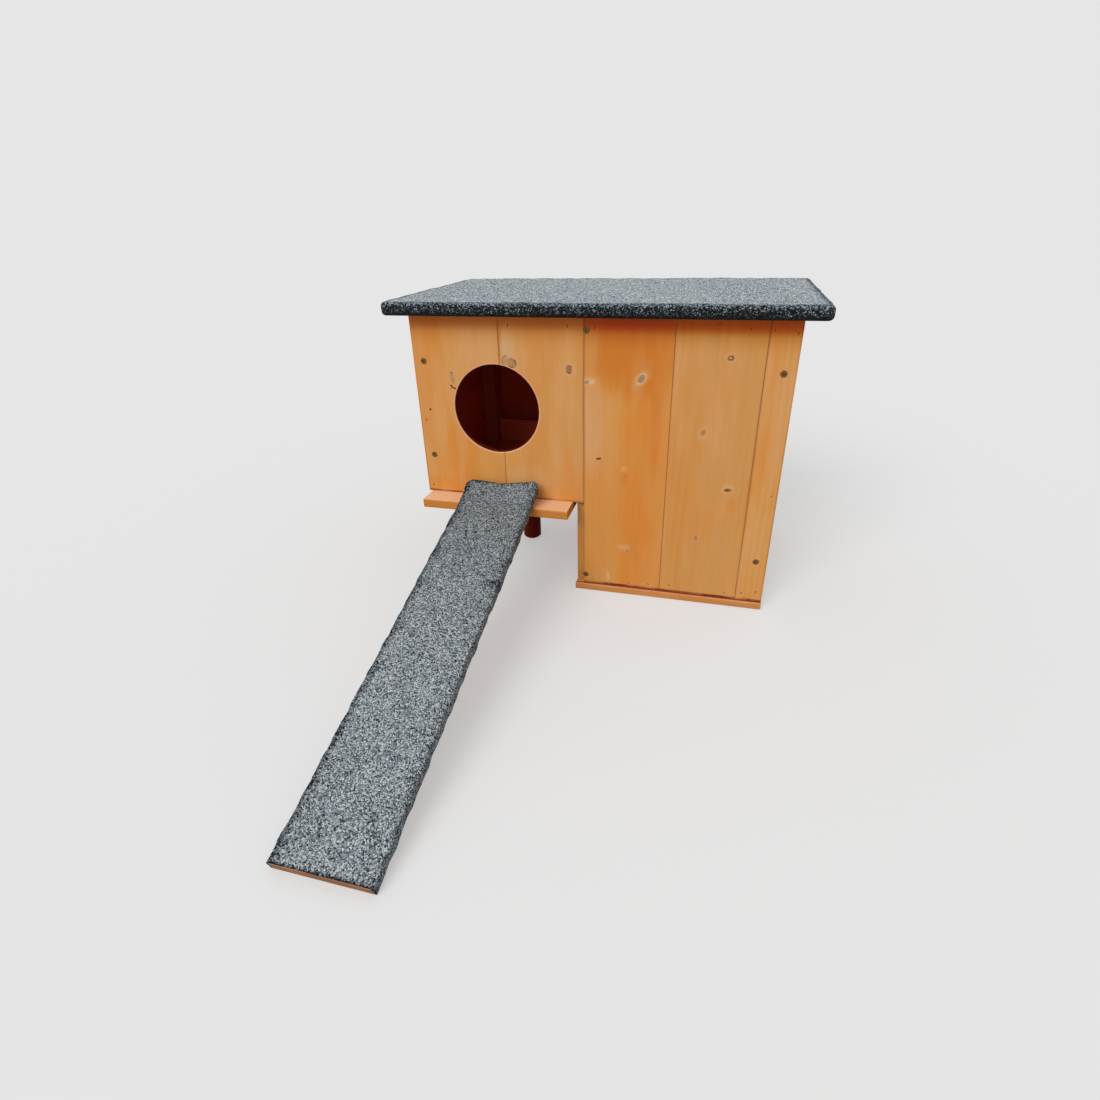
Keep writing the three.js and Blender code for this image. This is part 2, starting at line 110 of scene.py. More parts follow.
# The pale lip of a bore, a painted highlight, fades in between these distances outside its
# radius, and the painted shade of its wall between these depths, counted from the board's middle.
# All in millimetres.
bore_highlight_fade = (2.4, 1.5)
bore_shade_fade = (-4.6, -3.8)
# Each shade under the lid fades in between two distances below the lid, in millimetres.
lid_shades = ((60, 2, (246, 216, 96)), (30, 17, (248, 186, 40)))
# A kind of knot has a tone with its amount for the core, the rim and the halo, and a wobble.
no_stain = ((128, 128, 128), 0.0)
knot_kinds = {
    "grey": (((146, 122, 94), 1.0), ((218, 176, 130), 0.8), ((216, 160, 98), 0.4), 0.5),
    "outlined": (((172, 126, 80), 0.7), ((100, 64, 38), 0.95), ((204, 160, 116), 0.4), 0.35),
    "ring": (((146, 100, 64), 0.9), ((100, 66, 42), 0.9), ((208, 154, 110), 0.6), 0.3),
    "eye": (((160, 84, 42), 0.9), ((84, 36, 18), 1.0), ((216, 160, 116), 0.4), 0.3),
    "soft": (((160, 108, 66), 0.8), ((186, 132, 86), 0.4), ((202, 148, 98), 0.55), 0.7),
    "dark": (((100, 56, 28), 0.95), ((84, 44, 20), 0.6), ((214, 160, 108), 0.5), 0.6),
    "blotch": (((172, 132, 78), 0.8), no_stain, ((198, 150, 92), 0.5), 0.9),
    "fleck": (((100, 50, 16), 1.0), no_stain, no_stain, 0.25),
    "rust": (((190, 90, 30), 0.85), no_stain, no_stain, 0.25),
    "bruise": (((112, 56, 24), 0.8), no_stain, ((224, 166, 118), 0.35), 0.5),
    "scuff": (((216, 178, 132), 0.7), no_stain, ((212, 162, 108), 0.3), 0.6),
    # This kind is no knot but a line of painted shade, where boards stand on the base.
    "gap_shade": (((116, 36, 12), 0.9), no_stain, no_stain, 0.6),
}


def colour(tone):
    """Linear colour with alpha of an sRGB tone from 0 to 255, by the sRGB curve on whole arrays."""
    share = np.array(tone) / 255
    linear = np.where(share <= 0.04045, share / 12.92, ((share + 0.055) / 1.055) ** 2.4)
    return (*linear.tolist(), 1.0)


class Signal:
    """What a socket of a shader tree gives. The usual signs between signals and numbers add the
    nodes that work out the result."""

    def __init__(self, socket):
        self.socket = socket
        self.tree = socket.id_data

    def __add__(self, other):
        return calc("ADD", self, other)

    def __sub__(self, other):
        return calc("SUBTRACT", self, other)

    def __mul__(self, other):
        return calc("MULTIPLY", self, other)

    def __truediv__(self, other):
        return calc("DIVIDE", self, other)

    def __pow__(self, other):
        return calc("POWER", self, other)

    def __abs__(self):
        return calc("ABSOLUTE", self)


def wire(node, wires):
    """Links a node's inputs to signals or sets them to plain values."""
    for label, value in wires.items():
        if isinstance(value, Signal):
            node.id_data.links.new(value.socket, node.inputs[label])
        else:
            node.inputs[label].default_value = value


def put(tree, kind, wires=None, **settings):
    """Adds a shader node, wires it and gives its outputs by name and by number."""
    node = tree.nodes.new(kind)
    for label, value in settings.items():
        setattr(node, label, value)
    wire(node, wires or {})
    outputs = [Signal(socket) for socket in node.outputs]
    return {**{output.socket.name: output for output in outputs}, **dict(enumerate(outputs))}


def tree_of(values):
    """The tree of the first signal among some values."""
    return next(value.tree for value in values if isinstance(value, Signal))


def calc(operation, *values):
    """Result of one operation on numbers or signals."""
    return put(tree_of(values), "ShaderNodeMath", dict(enumerate(values)), operation=operation)[0]


def calc_vector(operation, *values):
    """Result of one operation on vectors: a number for a length, else a vector."""
    made = put(tree_of(values), "ShaderNodeVectorMath", dict(enumerate(values)), operation=operation)
    return made["Value" if operation == "LENGTH" else "Vector"]


def parts_of(vector):
    """The three parts of a vector."""
    return put(vector.tree, "ShaderNodeSeparateXYZ", {0: vector})


def joined(*parts):
    """Vector of three parts."""
    return put(tree_of(parts), "ShaderNodeCombineXYZ", dict(enumerate(parts)))[0]


def fade(value, start, end):
    """Smooth step of a value from 0 at start to 1 at end, which may lie below start."""
    wires = {"Value": value, "From Min": start, "From Max": end}
    return put(value.tree, "ShaderNodeMapRange", wires, interpolation_type="SMOOTHSTEP")[0]


def shade(share, first, second, way="MIX"):
    """Mixes two colours by a share from 0 to 1."""
    wires = {0: share, 6: first, 7: second}
    return put(tree_of(wires.values()), "ShaderNodeMix", wires, data_type="RGBA", blend_type=way)[2]


def dimmed(tone, level):
    """A colour times a number."""
    grey = put(tone.tree, "ShaderNodeCombineColor", {0: level, 1: level, 2: level})[0]
    return shade(1.0, tone, grey, "MULTIPLY")


def cloud(vector, scales, detail=2.0, roughness=0.5):
    """Soft noise from 0 to 1, with its number of lumps per metre along each axis. Each further
    step of detail adds lumps of half the size, weaker by the roughness."""
    stretched = calc_vector("MULTIPLY", vector, scales)
    wires = {"Vector": stretched, "Scale": 1.0, "Detail": detail, "Roughness": roughness}
    return put(vector.tree, "ShaderNodeTexNoise", wires)[0]


def effect(name, given, made):
    """Empty node group with named inputs and outputs; a start value's length tells its kind."""
    group = bpy.data.node_groups.new(name, "ShaderNodeTree")
    for direction, sockets in (("INPUT", given), ("OUTPUT", made)):
        for label, start in sockets.items():
            size = len(start) if isinstance(start, tuple) else 1
            kind = {1: "NodeSocketFloat", 3: "NodeSocketVector", 4: "NodeSocketColor"}[size]
            socket = group.interface.new_socket(label, in_out=direction, socket_type=kind)
            socket.default_value = start
    return group, put(group, "NodeGroupInput")


def new_material(name):
    """A material with its node tree and its shader, ready for wires."""
    material = bpy.data.materials.new(name)
    material.use_nodes = True
    tree = material.node_tree
    return material, tree, tree.nodes["Principled BSDF"]


def coat(shader, tone, matt, height, strength, distance=1.0):
    """Wires a colour, a roughness and a height to a shader. The height, in metres or in units of
    the distance, tilts the normal by the strength."""
    wires = {"Strength": strength, "Distance": distance, "Height": height}
    bump = put(shader.id_data, "ShaderNodeBump", wires)[0]
    wire(shader, {"Base Color": tone, "Roughness": matt, "Normal": bump})


def make_knot_effect():
    """An oval knot in board coordinates, across X and along Z. With r the distance from its
    middle in its own half sizes, the core fills r below 1, the rim is a thin ring at 1 and the
    halo fades out by 2.6. The grain is pushed aside by its distance times a bell curve of r, on
    top of the push, and the dent, that come in from the knot before it."""
    inputs = {"Vector": (0.0, 0.0, 0.0), "Across": 0.0, "Along": 0.0, "Half Width": 6 * mm,
              "Half Length": 8 * mm, "Turn": 0.0, "Wobble": 0.7, "Push": 0.0, "Dent": 0.0}
    outputs = {"Core": 0.0, "Rim": 0.0, "Halo": 0.0, "Push": 0.0, "Dent": 0.0}
    tree, given = effect("knot", inputs, outputs)
    place = parts_of(given["Vector"])
    across = place[0] - given["Across"]
    along = place[2] - given["Along"]
    cosine = calc("COSINE", given["Turn"])
    sine = calc("SINE", given["Turn"])
    wide = (across * cosine + along * sine) / given["Half Width"]
    tall = (along * cosine - across * sine) / given["Half Length"]
    wobble = cloud(given["Vector"], (210.0, 90.0, 160.0)) - 0.5
    span = wobble * given["Wobble"] + calc_vector("LENGTH", joined(wide, tall, 0.0))
    core = fade(span, 1.1, 0.6)
    outer = fade(span, 0.7, 1.0) * fade(span, 1.45, 1.05)
    inner = fade(span, 0.3, 0.45) * fade(span, 0.65, 0.5)
    broken = fade(cloud(given["Vector"], (120.0, 60.0, 150.0), 1.0), 0.34, 0.6)
    bell = calc("EXPONENT", span * span * -0.16)
    put(tree, "NodeGroupOutput", {
        "Core": core, "Rim": (inner * 0.4 + outer) * (broken * 0.8 + 0.2), "Halo": fade(span, 2.6, 0.9),
        "Push": across * bell * 0.85 + given["Push"], "Dent": calc("MAXIMUM", core, given["Dent"])})
    return tree


def make_patch_effect():
    """A long soft patch of another tone in board coordinates: its edge wanders with a noise that
    is stretched along the grain, and its colour is laid over what comes in by the amount."""
    white = (1.0, 1.0, 1.0, 1.0)
    inputs = {"Vector": (0.0, 0.0, 0.0), "Across": 0.0, "Along": 0.0, "Half Width": 20 * mm,
              "Half Length": 60 * mm, "Amount": 0.7, "Tone": white, "Under": white}
    tree, given = effect("tone_patch", inputs, {"Color": white})
    place = parts_of(given["Vector"])
    across = abs((place[0] - given["Across"]) / given["Half Width"]) ** 2.2
    along = abs((place[2] - given["Along"]) / given["Half Length"]) ** 2.2
    wander = cloud(given["Vector"], (70.0, 30.0, 11.0), 3.0) - 0.5
    share = fade(wander * 1.5 + (across + along), 1.8, 0.2) * given["Amount"]
    put(tree, "NodeGroupOutput", {"Color": shade(share, given["Under"], given["Tone"])})
    return tree


def make_softwood_effect():
    """Planed pine, solid through the board. The rings are the distance from a pith that wanders
    below the face, over the ring width; late wood is a saw tooth of its fraction that rises
    slowly and falls fast, and it shows in some strips only. Fibres and slow clouds of tone are
    noises stretched along the grain."""
    white = (1.0, 1.0, 1.0, 1.0)
    inputs = {"Vector": (0.0, 0.0, 0.0), "Normal": (0.0, 0.0, 1.0), "Push": 0.0, "Dent": 0.0,
              "Arris": 0.0, "Seed": 0.0, "Ring Width": 5 * mm, "Pith Across": 0.0,
              "Pith Depth": 60 * mm, "Lean": 0.05, "Contrast": 0.6, "Blush": 0.7, "Glow": 0.55,
              "Early": white, "Late": white, "Blush Tone": white, "Glow Tone": white, "Worn And Lit Tone": white}
    tree, given = effect("softwood", inputs, {"Color": white, "Roughness": 0.5, "Height": 0.0})
    shift = calc_vector("MULTIPLY", joined(*[given["Seed"]] * 3), (0.37, 0.23, 1.9))
    place = parts_of(given["Vector"])
    grain = calc_vector("ADD", given["Vector"], shift)

    drift = cloud(grain, (0.5, 0.5, 2.2), 1.0) - 0.5
    flutter = cloud(grain, (32.0, 32.0, 3.0)) - 0.5
    across = drift * (30 * mm) + (place[0] - given["Push"] - given["Pith Across"])
    depth = place[2] * given["Lean"] + (place[1] + given["Pith Depth"])
    reach = flutter * (9 * mm) + calc_vector("LENGTH", joined(across, depth, 0.0))
    part = calc("FRACT", reach / given["Ring Width"])
    vivid = fade(cloud(grain, (19.0, 19.0, 1.6)), 0.42, 0.68) * 0.85 + 0.15
    late = part ** 2.4 * fade(part, 1.0, 0.86) * vivid * given["Contrast"]

    fibre = cloud(grain, (1100.0, 1100.0, 18.0), roughness=0.6)
    coarse = cloud(grain, (260.0, 260.0, 4.0), 3.0, 0.6)
    blush = fade(cloud(grain, (19.0, 19.0, 5.5)), 0.42, 0.64)
    elsewhere = calc_vector("ADD", grain, (3.1, 7.7, 5.3))
    glow = fade(cloud(elsewhere, (17.0, 17.0, 4.6)), 0.44, 0.68)
    tone = shade(blush * given["Blush"], given["Early"], given["Blush Tone"])
    tone = shade(glow * given["Glow"], tone, given["Glow Tone"])
    tone = shade(late, tone, shade(1.0, tone, given["Late"], "MULTIPLY"))
    tone = dimmed(tone, fibre * 0.07 + coarse * 0.09 + 0.94)

    # Arrises get a pale tone, partly worn wood and partly a painted highlight.
    tone = shade(given["Arris"] * 0.55, tone, given["Worn And Lit Tone"])
    end_grain = fade(abs(parts_of(given["Normal"])[2]), 0.75, 0.95)
    tone = shade(end_grain * 0.4, tone, dimmed(tone, 0.8))
    matt = fibre * 0.16 + (end_grain * 0.2 + 0.46) - late * 0.1
    relief = given["Dent"] * (-0.12 * mm) + (late * (0.06 * mm) + fibre * (0.05 * mm))
    put(tree, "NodeGroupOutput", {"Color": tone, "Roughness": matt, "Height": relief})
    return tree


knot_effect = make_knot_effect()
patch_effect = make_patch_effect()
softwood_effect = make_softwood_effect()


def wood(name, order, middle, seed, knots=(), patches=(), turn=0.0, early=early_wood, inside=None,
         beyond=None, bore=None, sunned=None, eaves=None, **look):
    """Stained softwood. The order names the axes that run across, through and along the board.
    A knot is (across, along, half width, half length, turn, kind) and a patch (across, along,
    half width, half length, amount, tone), both in millimetres from the board's middle. Inside
    (axis, way) names the faces with the darker tone of the rooms, partly a red-brown stain and
    partly painted shade, which look along that axis, or both ways if way is 0, and beyond (axis,
    start, end) is where it begins. Bore (across, along, radius) is a hole with a pale lip that is a
    painted highlight and a wall darkened by painted shade. The argument after it, (axis, tone,
    amount), lays a paler tone on the faces that look along that axis, partly the wood's own and
    partly painted light from above, and eaves (height, amount) is where the lid lies and how much
    of its deep warm shade falls on the board. Look is any other setting of the softwood effect by
    its name in small letters, with its widths and depths in millimetres."""
    material, tree, shader = new_material(name)
    spot = put(tree, "ShaderNodeTexCoord")
    rotation = (turn, 0.0, 0.0)
    ways = {"Object": {"Location": middle, "Rotation": rotation}, "Normal": {"Rotation": rotation}}
    own = []
    for label, wires in ways.items():
        wires["Vector"] = spot[label]
        parts = parts_of(put(tree, "ShaderNodeMapping", wires, vector_type="TEXTURE")[0])
        own.append([parts["XYZ".index(letter)] for letter in order])
    place, facing = own
    vector = joined(*place)
    normal = joined(*facing)

    def placed(*sizes):
        """Wires of a knot or a patch at its place and of its half sizes, all in millimetres."""
        labels = ("Across", "Along", "Half Width", "Half Length")
        return {"Vector": vector, **{label: size * mm for label, size in zip(labels, sizes)}}

    marks = {}
    stains = []
    for *sizes, tilt, kind in knots:
        core, rim, halo, wobble = knot_kinds[kind]
        wires = {**placed(*sizes), "Turn": math.radians(tilt), "Wobble": wobble, **marks}
        knot = put(tree, "ShaderNodeGroup", wires, node_tree=knot_effect)
        marks = {label: knot[label] for label in ("Push", "Dent")}
        stains += [(knot["Halo"], halo), (knot["Core"], core), (knot["Rim"], rim)]
    base = colour(early)
    for *sizes, amount, tone in patches:
        wires = {**placed(*sizes), "Amount": amount, "Tone": colour(tone), "Under": base}
        base = put(tree, "ShaderNodeGroup", wires, node_tree=patch_effect)[0]

    arris_share = put(tree, "ShaderNodeAttribute", attribute_name="arris")["Fac"]
    wires = {"Vector": vector, "Normal": normal, "Arris": arris_share, "Seed": seed, "Early": base,
             "Late": colour(late_tint), "Blush Tone": colour(blush_wood), "Glow Tone": colour(glow_wood),
             "Worn And Lit Tone": colour(worn_and_lit_arris_wood), **marks}
    for label, value in look.items():
        unit = mm if label in ("pith_across", "pith_depth", "ring_width") else 1
        wires[label.replace("_", " ").title()] = value * unit
    grain = put(tree, "ShaderNodeGroup", wires, node_tree=softwood_effect)
    tone = grain["Color"]
    # Faces along the axis get a paler tone, partly the wood's own and partly painted light from above.
    if sunned:
        axis, stain, amount = sunned
        upward = fade(parts_of(normal)[axis], 0.75, 0.97)
        tone = shade(upward * amount, tone, colour(stain))
    for mask, (stain, amount) in stains:
        tone = shade(mask * amount, tone, colour(stain))
    if eaves is not None:
        lid_height, amount = eaves
        outward = fade(parts_of(normal)[1], -0.5, -0.9)
        for start, end, tint in lid_shades:
            share = fade(place[2], (lid_height - start) * mm, (lid_height - end) * mm)
            tinted = shade(1.0, tone, colour(tint), "MULTIPLY")
            tone = shade(share * (outward * amount), tone, tinted)
    # A bore gets a painted highlight on its lip and painted shade on its wall.
    if bore:
        across, along, radius = bore
        reach = calc_vector("LENGTH", joined(place[0] - across * mm, place[2] - along * mm, 0.0))
        lip = fade(reach, *((radius + outside) * mm for outside in bore_highlight_fade))
        tone = shade(lip * 0.9, tone, colour(bore_highlight_wood))
        deep = fade(place[1], *(depth * mm for depth in bore_shade_fade))
        tone = shade(lip * deep, tone, colour(bore_shade_wood))
    # Faces inside the rooms get the darker tone: partly stain, partly painted shade.
    if inside:
        axis, way = inside
        looks = parts_of(normal)[axis]
        hidden = fade(looks * way if way else abs(looks), 0.5, 0.9)
        if beyond:
            axis, start, end = beyond
            hidden = hidden * fade(place[axis], start * mm, end * mm)
        tone = shade(hidden, tone, shade(1.0, tone, colour(inside_stain_and_shade_tint), "MULTIPLY"))
    coat(shader, tone, grain["Roughness"], grain["Height"], 0.6)
    shader.inputs["Specular IOR Level"].default_value = wood_shine
    return material


def softened(name, arris, rounder=None):
    """A piece's own shape with its loose triangles merged, its flats cleared and its arrises
    rounded. The attribute arris is 1 along the middle of each rounding and 0 elsewhere. The
    edges that rounder picks by their middle are first cut back by a wider rounding."""
    flat_turn = math.radians(1)
    sharp_turn = math.radians(30)
    crisp_turn = math.radians(50)
    weld = 0.001 * mm
    shape = bmesh.new()
    shape.from_mesh(nodes[name].data)
    bmesh.ops.remove_doubles(shape, verts=shape.verts, dist=weld)
    bmesh.ops.dissolve_limit(shape, angle_limit=flat_turn, verts=shape.verts, edges=shape.edges)
    if rounder:
        pick, radius = rounder
        wide = [edge for edge in shape.edges if pick((edge.verts[0].co + edge.verts[1].co) / 2)]
        bmesh.ops.bevel(shape, geom=wide, offset=radius, offset_type="OFFSET", segments=4,
                        profile=0.5, affect="EDGES", clamp_overlap=True)
    sharp = [edge for edge in shape.edges if edge.is_manifold and edge.calc_face_angle() > sharp_turn]
    rounded = bmesh.ops.bevel(shape, geom=sharp, offset=arris, offset_type="OFFSET", segments=2,
                              profile=0.5, affect="EDGES", clamp_overlap=True)
    roundings = set(rounded["faces"])
    layer = shape.verts.layers.float.new("arris")
    for vert in shape.verts:
        vert[layer] = float(all(face in roundings for face in vert.link_faces))
    # A bevel can list its faces in another order each time, so they are put in that of their corners.
    shape.verts.index_update()
    in_order = sorted(shape.faces, key=lambda face: [vert.index for vert in face.verts])
    for index, face in enumerate(in_order):
        face.index = index
    shape.faces.sort()
    mesh = bpy.data.meshes.new(name + "_shape")
    shape.to_mesh(mesh)
    shape.free()
    mesh.shade_smooth()
    mesh.set_sharp_from_angle(angle=crisp_turn)
    return mesh


def added(name, data):
    """New object of a mesh, lamp or camera in the scene."""
    item = bpy.data.objects.new(name, data)
    bpy.context.scene.collection.objects.link(item)
    return item


def stand_for(name, mesh, material):
    """Shows a mesh with its material in place of a node, on that node's body."""
    piece = added(name + "_finished", mesh)
    mesh.materials.append(material)
    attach(piece, nodes[name]["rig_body"])
    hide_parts(name)
    return piece


def node_middle(name):
    """Middle of a node's box."""
    low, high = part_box(name)
    return np.array([(a + b) / 2 for a, b in zip(low, high)])


def keep_flats(piece):
    """Lets the flats of a softened piece keep their own normals beside its roundings."""
    flats = piece.modifiers.new("flats", "WEIGHTED_NORMAL")
    flats.keep_sharp = True


def wooden(name, order, seed, arris=board_arris, slot="board_wood", rounder=None, **look):
    """Softened, stained copy of a board or batten."""
    material = wood(name + "_wood", order, node_middle(name), seed, **look)
    keep_flats(stand_for(name, softened(name, arris, rounder), material))


def named(start="", ending=""):
    """Nodes whose names start and end so, in alphabetical order."""
    return sorted(name for name in nodes if name.startswith(start) and name.endswith(ending))


panel_front = (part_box("nest_front_board_1")[0][1] - node_middle("base_panel")[1]) / mm
# The long thin mark where the front boards stand on the panel is painted shade.
base_knots = [(-80, -60, 6, 9, 20, "soft"), (60, 95, 5, 8, -15, "dark"),
              (panel_front, 0, 1.7, 1000, 0, "gap_shade")]
wooden("base_panel", "YZX", 3.1, knots=base_knots, early=base_wood, sunned=(1, base_paler_and_lit_top_wood, 0.8),
       pith_depth=30, ring_width=6)


# Frame battens
# Sawn 24 by 48 mm softwood stands in the corners as posts and lies between them as rails. The
# boards are screwed and stapled to them, and their faces keep the saw's fine ridges.
batten_arris = 0.6 * mm
batten_wood = (196, 128, 66)
# Posts and rails inside the rooms are darker red-brown, partly stain and partly painted shade;
stained_and_shaded_room_wood = (176, 72, 46)
# the bottom rails are a lighter red, which is painted light.
lit_bottom_rail_wood = (212, 98, 62)


def scattered_knots(name, order, count, seed, size=7):
    """A few knots at places drawn evenly over a board's face, each with its own size and turn."""
    chance = np.random.default_rng(seed)
    low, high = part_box(name)
    extent = np.array([high[i] - low[i] for i in range(3)]) / mm
    half_across = extent["XYZ".index(order[0])] / 2
    half_along = extent["XYZ".index(order[2])] / 2
    across = chance.uniform(-0.75, 0.75, count) * half_across
    along = chance.uniform(-0.85, 0.85, count) * half_along
    width = chance.uniform(0.5, 1.1, count) * size
    length = width * chance.uniform(1.0, 1.7, count)
    tilt = chance.uniform(-35, 35, count)
    kinds = chance.choice(["dark", "grey", "ring", "soft"], count).tolist()
    return list(zip(across.tolist(), along.tolist(), width.tolist(), length.tolist(), tilt.tolist(), kinds))


battens = {"_post": "XYZ", "front_top_rail": "ZYX", "back_top_rail": "ZYX", "bottom_rail": "ZYX"}
for ending, order in battens.items():
    for index, name in enumerate(named(ending=ending)):
        seed = len(ending) + 2.3 * index
        tone = lit_bottom_rail_wood if ending == "bottom_rail" else stained_and_shaded_room_wood
        wooden(name, order, seed, batten_arris, "frame_wood", early=tone, ring_width=4, pith_depth=25,
               blush=0.0, glow=0.0)


# Wall boards
# Planed 12 mm tongue-and-groove pine, upright on the front and back and lying on the sides. The
# round entrance is bored through two of them, and all are stained honey before they are fixed.
orange_wood = (208, 129, 48)
deep_wood = (200, 116, 34)
pale_wood = (212, 164, 112)
pink_wood = (210, 154, 104)
brown_wood = (198, 142, 80)
seam_wood = (160, 102, 48)
bleached_wood = (198, 164, 124)
# A dark band along the foot of each front board, where it stands on the base, is painted shade.
foot_shade_wood = (120, 34, 8)
foot_shade_band = (200, 3.4, 1.0, foot_shade_wood)
seam_half_width = 2.2
bruise_size = (2.8, 1.2)
front_arris = 0.2 * mm
# Places on the front are (x, z) in millimetres, and the entrance has its radius with them.
entrance = (-160.5, 326.5, 73.8)


def on_front(name, rows):
    """Turns knots or patches given by their place on the front into places from a board's middle."""
    middle = node_middle(name) / mm
    return [(row[0] - middle[0], row[1] - middle[2], *row[2:]) for row in rows]


front_knots = {
    "entry_front_board_1": [(-233.6, 375, 4.2, 11, 8, "blotch"), (-234.4, 385, 1.1, 2.6, 62, "fleck"),
                            (-236.4, 362.4, 1.9, 5, 35, "fleck"), (-231.2, 359.4, 1.8, 4, 75, "fleck"),
                            (-280, 322, 2.3, 2.6, 0, "fleck"), (-289.5, 303, 2.4, 3.4, 0, "rust")],
    "entry_front_board_2": [(-141, 407.5, 4, 7, -20, "outlined"), (-130.5, 404, 7.5, 6, -30, "outlined"),
                            (-35.5, 396.3, 4.6, 5.4, 10, "ring")],
    "nest_front_board_1": [(78, 386, 5.6, 8.6, -38, "grey"), (-7, 378, 5, 4.2, 0, "grey"),
                           (1, 378.5, 5, 4, 0, "scuff"), (13, 253, 4.2, 2, 12, "dark"),
                           (67, 85, 2.8, 2.2, 0, "soft"), (33.5, 31, 1.6, 7, 10, "scuff")],
    "nest_front_board_2": [(206.4, 420.5, 4.4, 3.4, -12, "eye"), (206.4, 420.5, 4.5, 3.3, -12, "fleck"),
                           (206.1, 420.4, 2.1, 1.4, -12, "scuff"), (177, 307, 3.6, 5.6, -35, "soft"),
                           (223.2, 214.5, 5.4, 2.6, 4, "dark"), (180.6, 124, 3, 5, 10, "soft")],
    "nest_front_board_3": [(290.9, 209.6, 2, 2, 0, "soft")],
}
front_patches = {
    "entry_front_board_1": [(-262, 400, 18, 110, 0.6, orange_wood), (-180, 440, 40, 55, 0.7, pink_wood),
                            (-228, 262, 28, 110, 0.75, orange_wood), (-270, 178, 34, 24, 0.7, orange_wood),
                            (-288, 330, 10, 120, 0.5, pink_wood)],
    "entry_front_board_2": [(-134, 434, 11, 26, 0.9, pale_wood), (-60, 300, 60, 170, 0.6, brown_wood),
                            (-35, 397, 11, 13, 0.5, pink_wood), (-110, 200, 34, 30, 0.6, pink_wood),
                            (-136, 424, 10, 17, 0.8, bleached_wood), (-60, 178, 40, 18, 0.6, orange_wood)],
    "nest_front_board_1": [(90, 180, 42, 260, 1.0, orange_wood), (66, 440, 76, 80, 1.0, deep_wood),
                           (0, 300, 21, 78, 1.0, pink_wood), (56, 236, 5, 7, 0.5, pale_wood),
                           (57, 222, 6, 13, 0.7, deep_wood), (90, 402, 9, 15, 0.25, brown_wood),
                           (71, 374, 8, 8, 0.35, brown_wood), (58, 93, 12, 6, 0.45, pale_wood),
                           (20, 30, 14, 14, 0.6, pink_wood), (104, 380, 8, 150, 0.9, deep_wood)],
    "nest_front_board_2": [(190, 250, 80, 300, 0.85, brown_wood), (176, 306, 9, 13, 0.5, pink_wood),
                           (128, 400, 14, 70, 0.6, blush_wood), (231, 188, 7, 12, 0.7, orange_wood),
                           (223, 220, 9, 5, 0.5, pale_wood)],
    "nest_front_board_3": [(268, 330, 10, 150, 0.5, orange_wood), (288, 300, 8, 90, 0.5, pink_wood)],
}
front_looks = {
    "entry_front_board_1": dict(pith_across=-20, pith_depth=14, lean=0.09, ring_width=8, contrast=0.45),
    "entry_front_board_2": dict(pith_across=60, pith_depth=30, lean=0.04, ring_width=7, contrast=0.3),
    "nest_front_board_1": dict(pith_across=26, pith_depth=16, lean=0.05, ring_width=11, contrast=0.22,
                               blush=0.3, glow=0.45),
    "nest_front_board_2": dict(pith_across=-26, pith_depth=30, lean=0.02, ring_width=9, contrast=0.75),
    "nest_front_board_3": dict(pith_across=-40, pith_depth=30, lean=0.02, ring_width=8, contrast=0.45),
}
front_staples = {
    "foot": [(37, 17, 70), (71, 22, 60), (105.8, 23.5, -50), (142.4, 26, -55), (237.5, 23.7, 75),
             (265.6, 26.6, 80), (288.9, 31.8, 80)],
    "top": [(-132.8, 461, 80), (-37.5, 461, 85), (4.6, 459, 70), (186, 468, 80), (230, 460.5, 85),
            (261.8, 460, -80), (293.6, 456, 84)],
    "side": [(-290.6, 183, 20)],
}
staple_places = [place for places in front_staples.values() for place in places]
# The shade along a seam has a height, a half height and an amount, by the board on its left.
even_seam = (250, 600, 0.5)
seams = {"entry_front_board_1": (432, 36, 0.7), "nest_front_board_1": (250, 600, 0.15)}
front_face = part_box("nest_front_board_1")[0][1]
panel_ends = [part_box("entry_front_board_2")[1][0] / mm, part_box("nest_front_board_3")[1][0] / mm]
for index, (name, look) in enumerate(front_looks.items()):
    low, high = (np.array(corner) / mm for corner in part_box(name))
    neighbours = [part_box(other)[0][0] / mm for other in front_looks] + panel_ends
    right_edge = min(x for x in neighbours if x > low[0] + 1)
    middle = (low + high) / 2
    # The foot band and the seam bands laid on each board are painted shade.
    painted_shades = [(middle[0], low[2], *foot_shade_band)]
    left_name = list(front_looks)[index - 1] if index else None
    for edge, left_board in ((low[0], left_name), (right_edge, name)):
        height, half_height, amount = seams.get(left_board, even_seam)
        painted_shades.append((edge, height, seam_half_width, half_height, amount, seam_wood))
    pinned = [place for place in staple_places if low[0] <= place[0] < right_edge]
    bruises = [(x, z, *bruise_size, tilt, "bruise") for x, z, tilt in pinned]
    bored = name.startswith("entry")
    bore = (entrance[0] - middle[0], entrance[1] - middle[2], entrance[2]) if bored else None
    wooden(name, "XYZ", 11.7 + 3.3 * index, front_arris, knots=on_front(name, front_knots[name] + bruises),
           patches=on_front(name, front_patches[name] + painted_shades), inside=(1, 1), bore=bore,
           eaves=(high[2] - middle[2], 0.5 if bored else 1.0), **look)

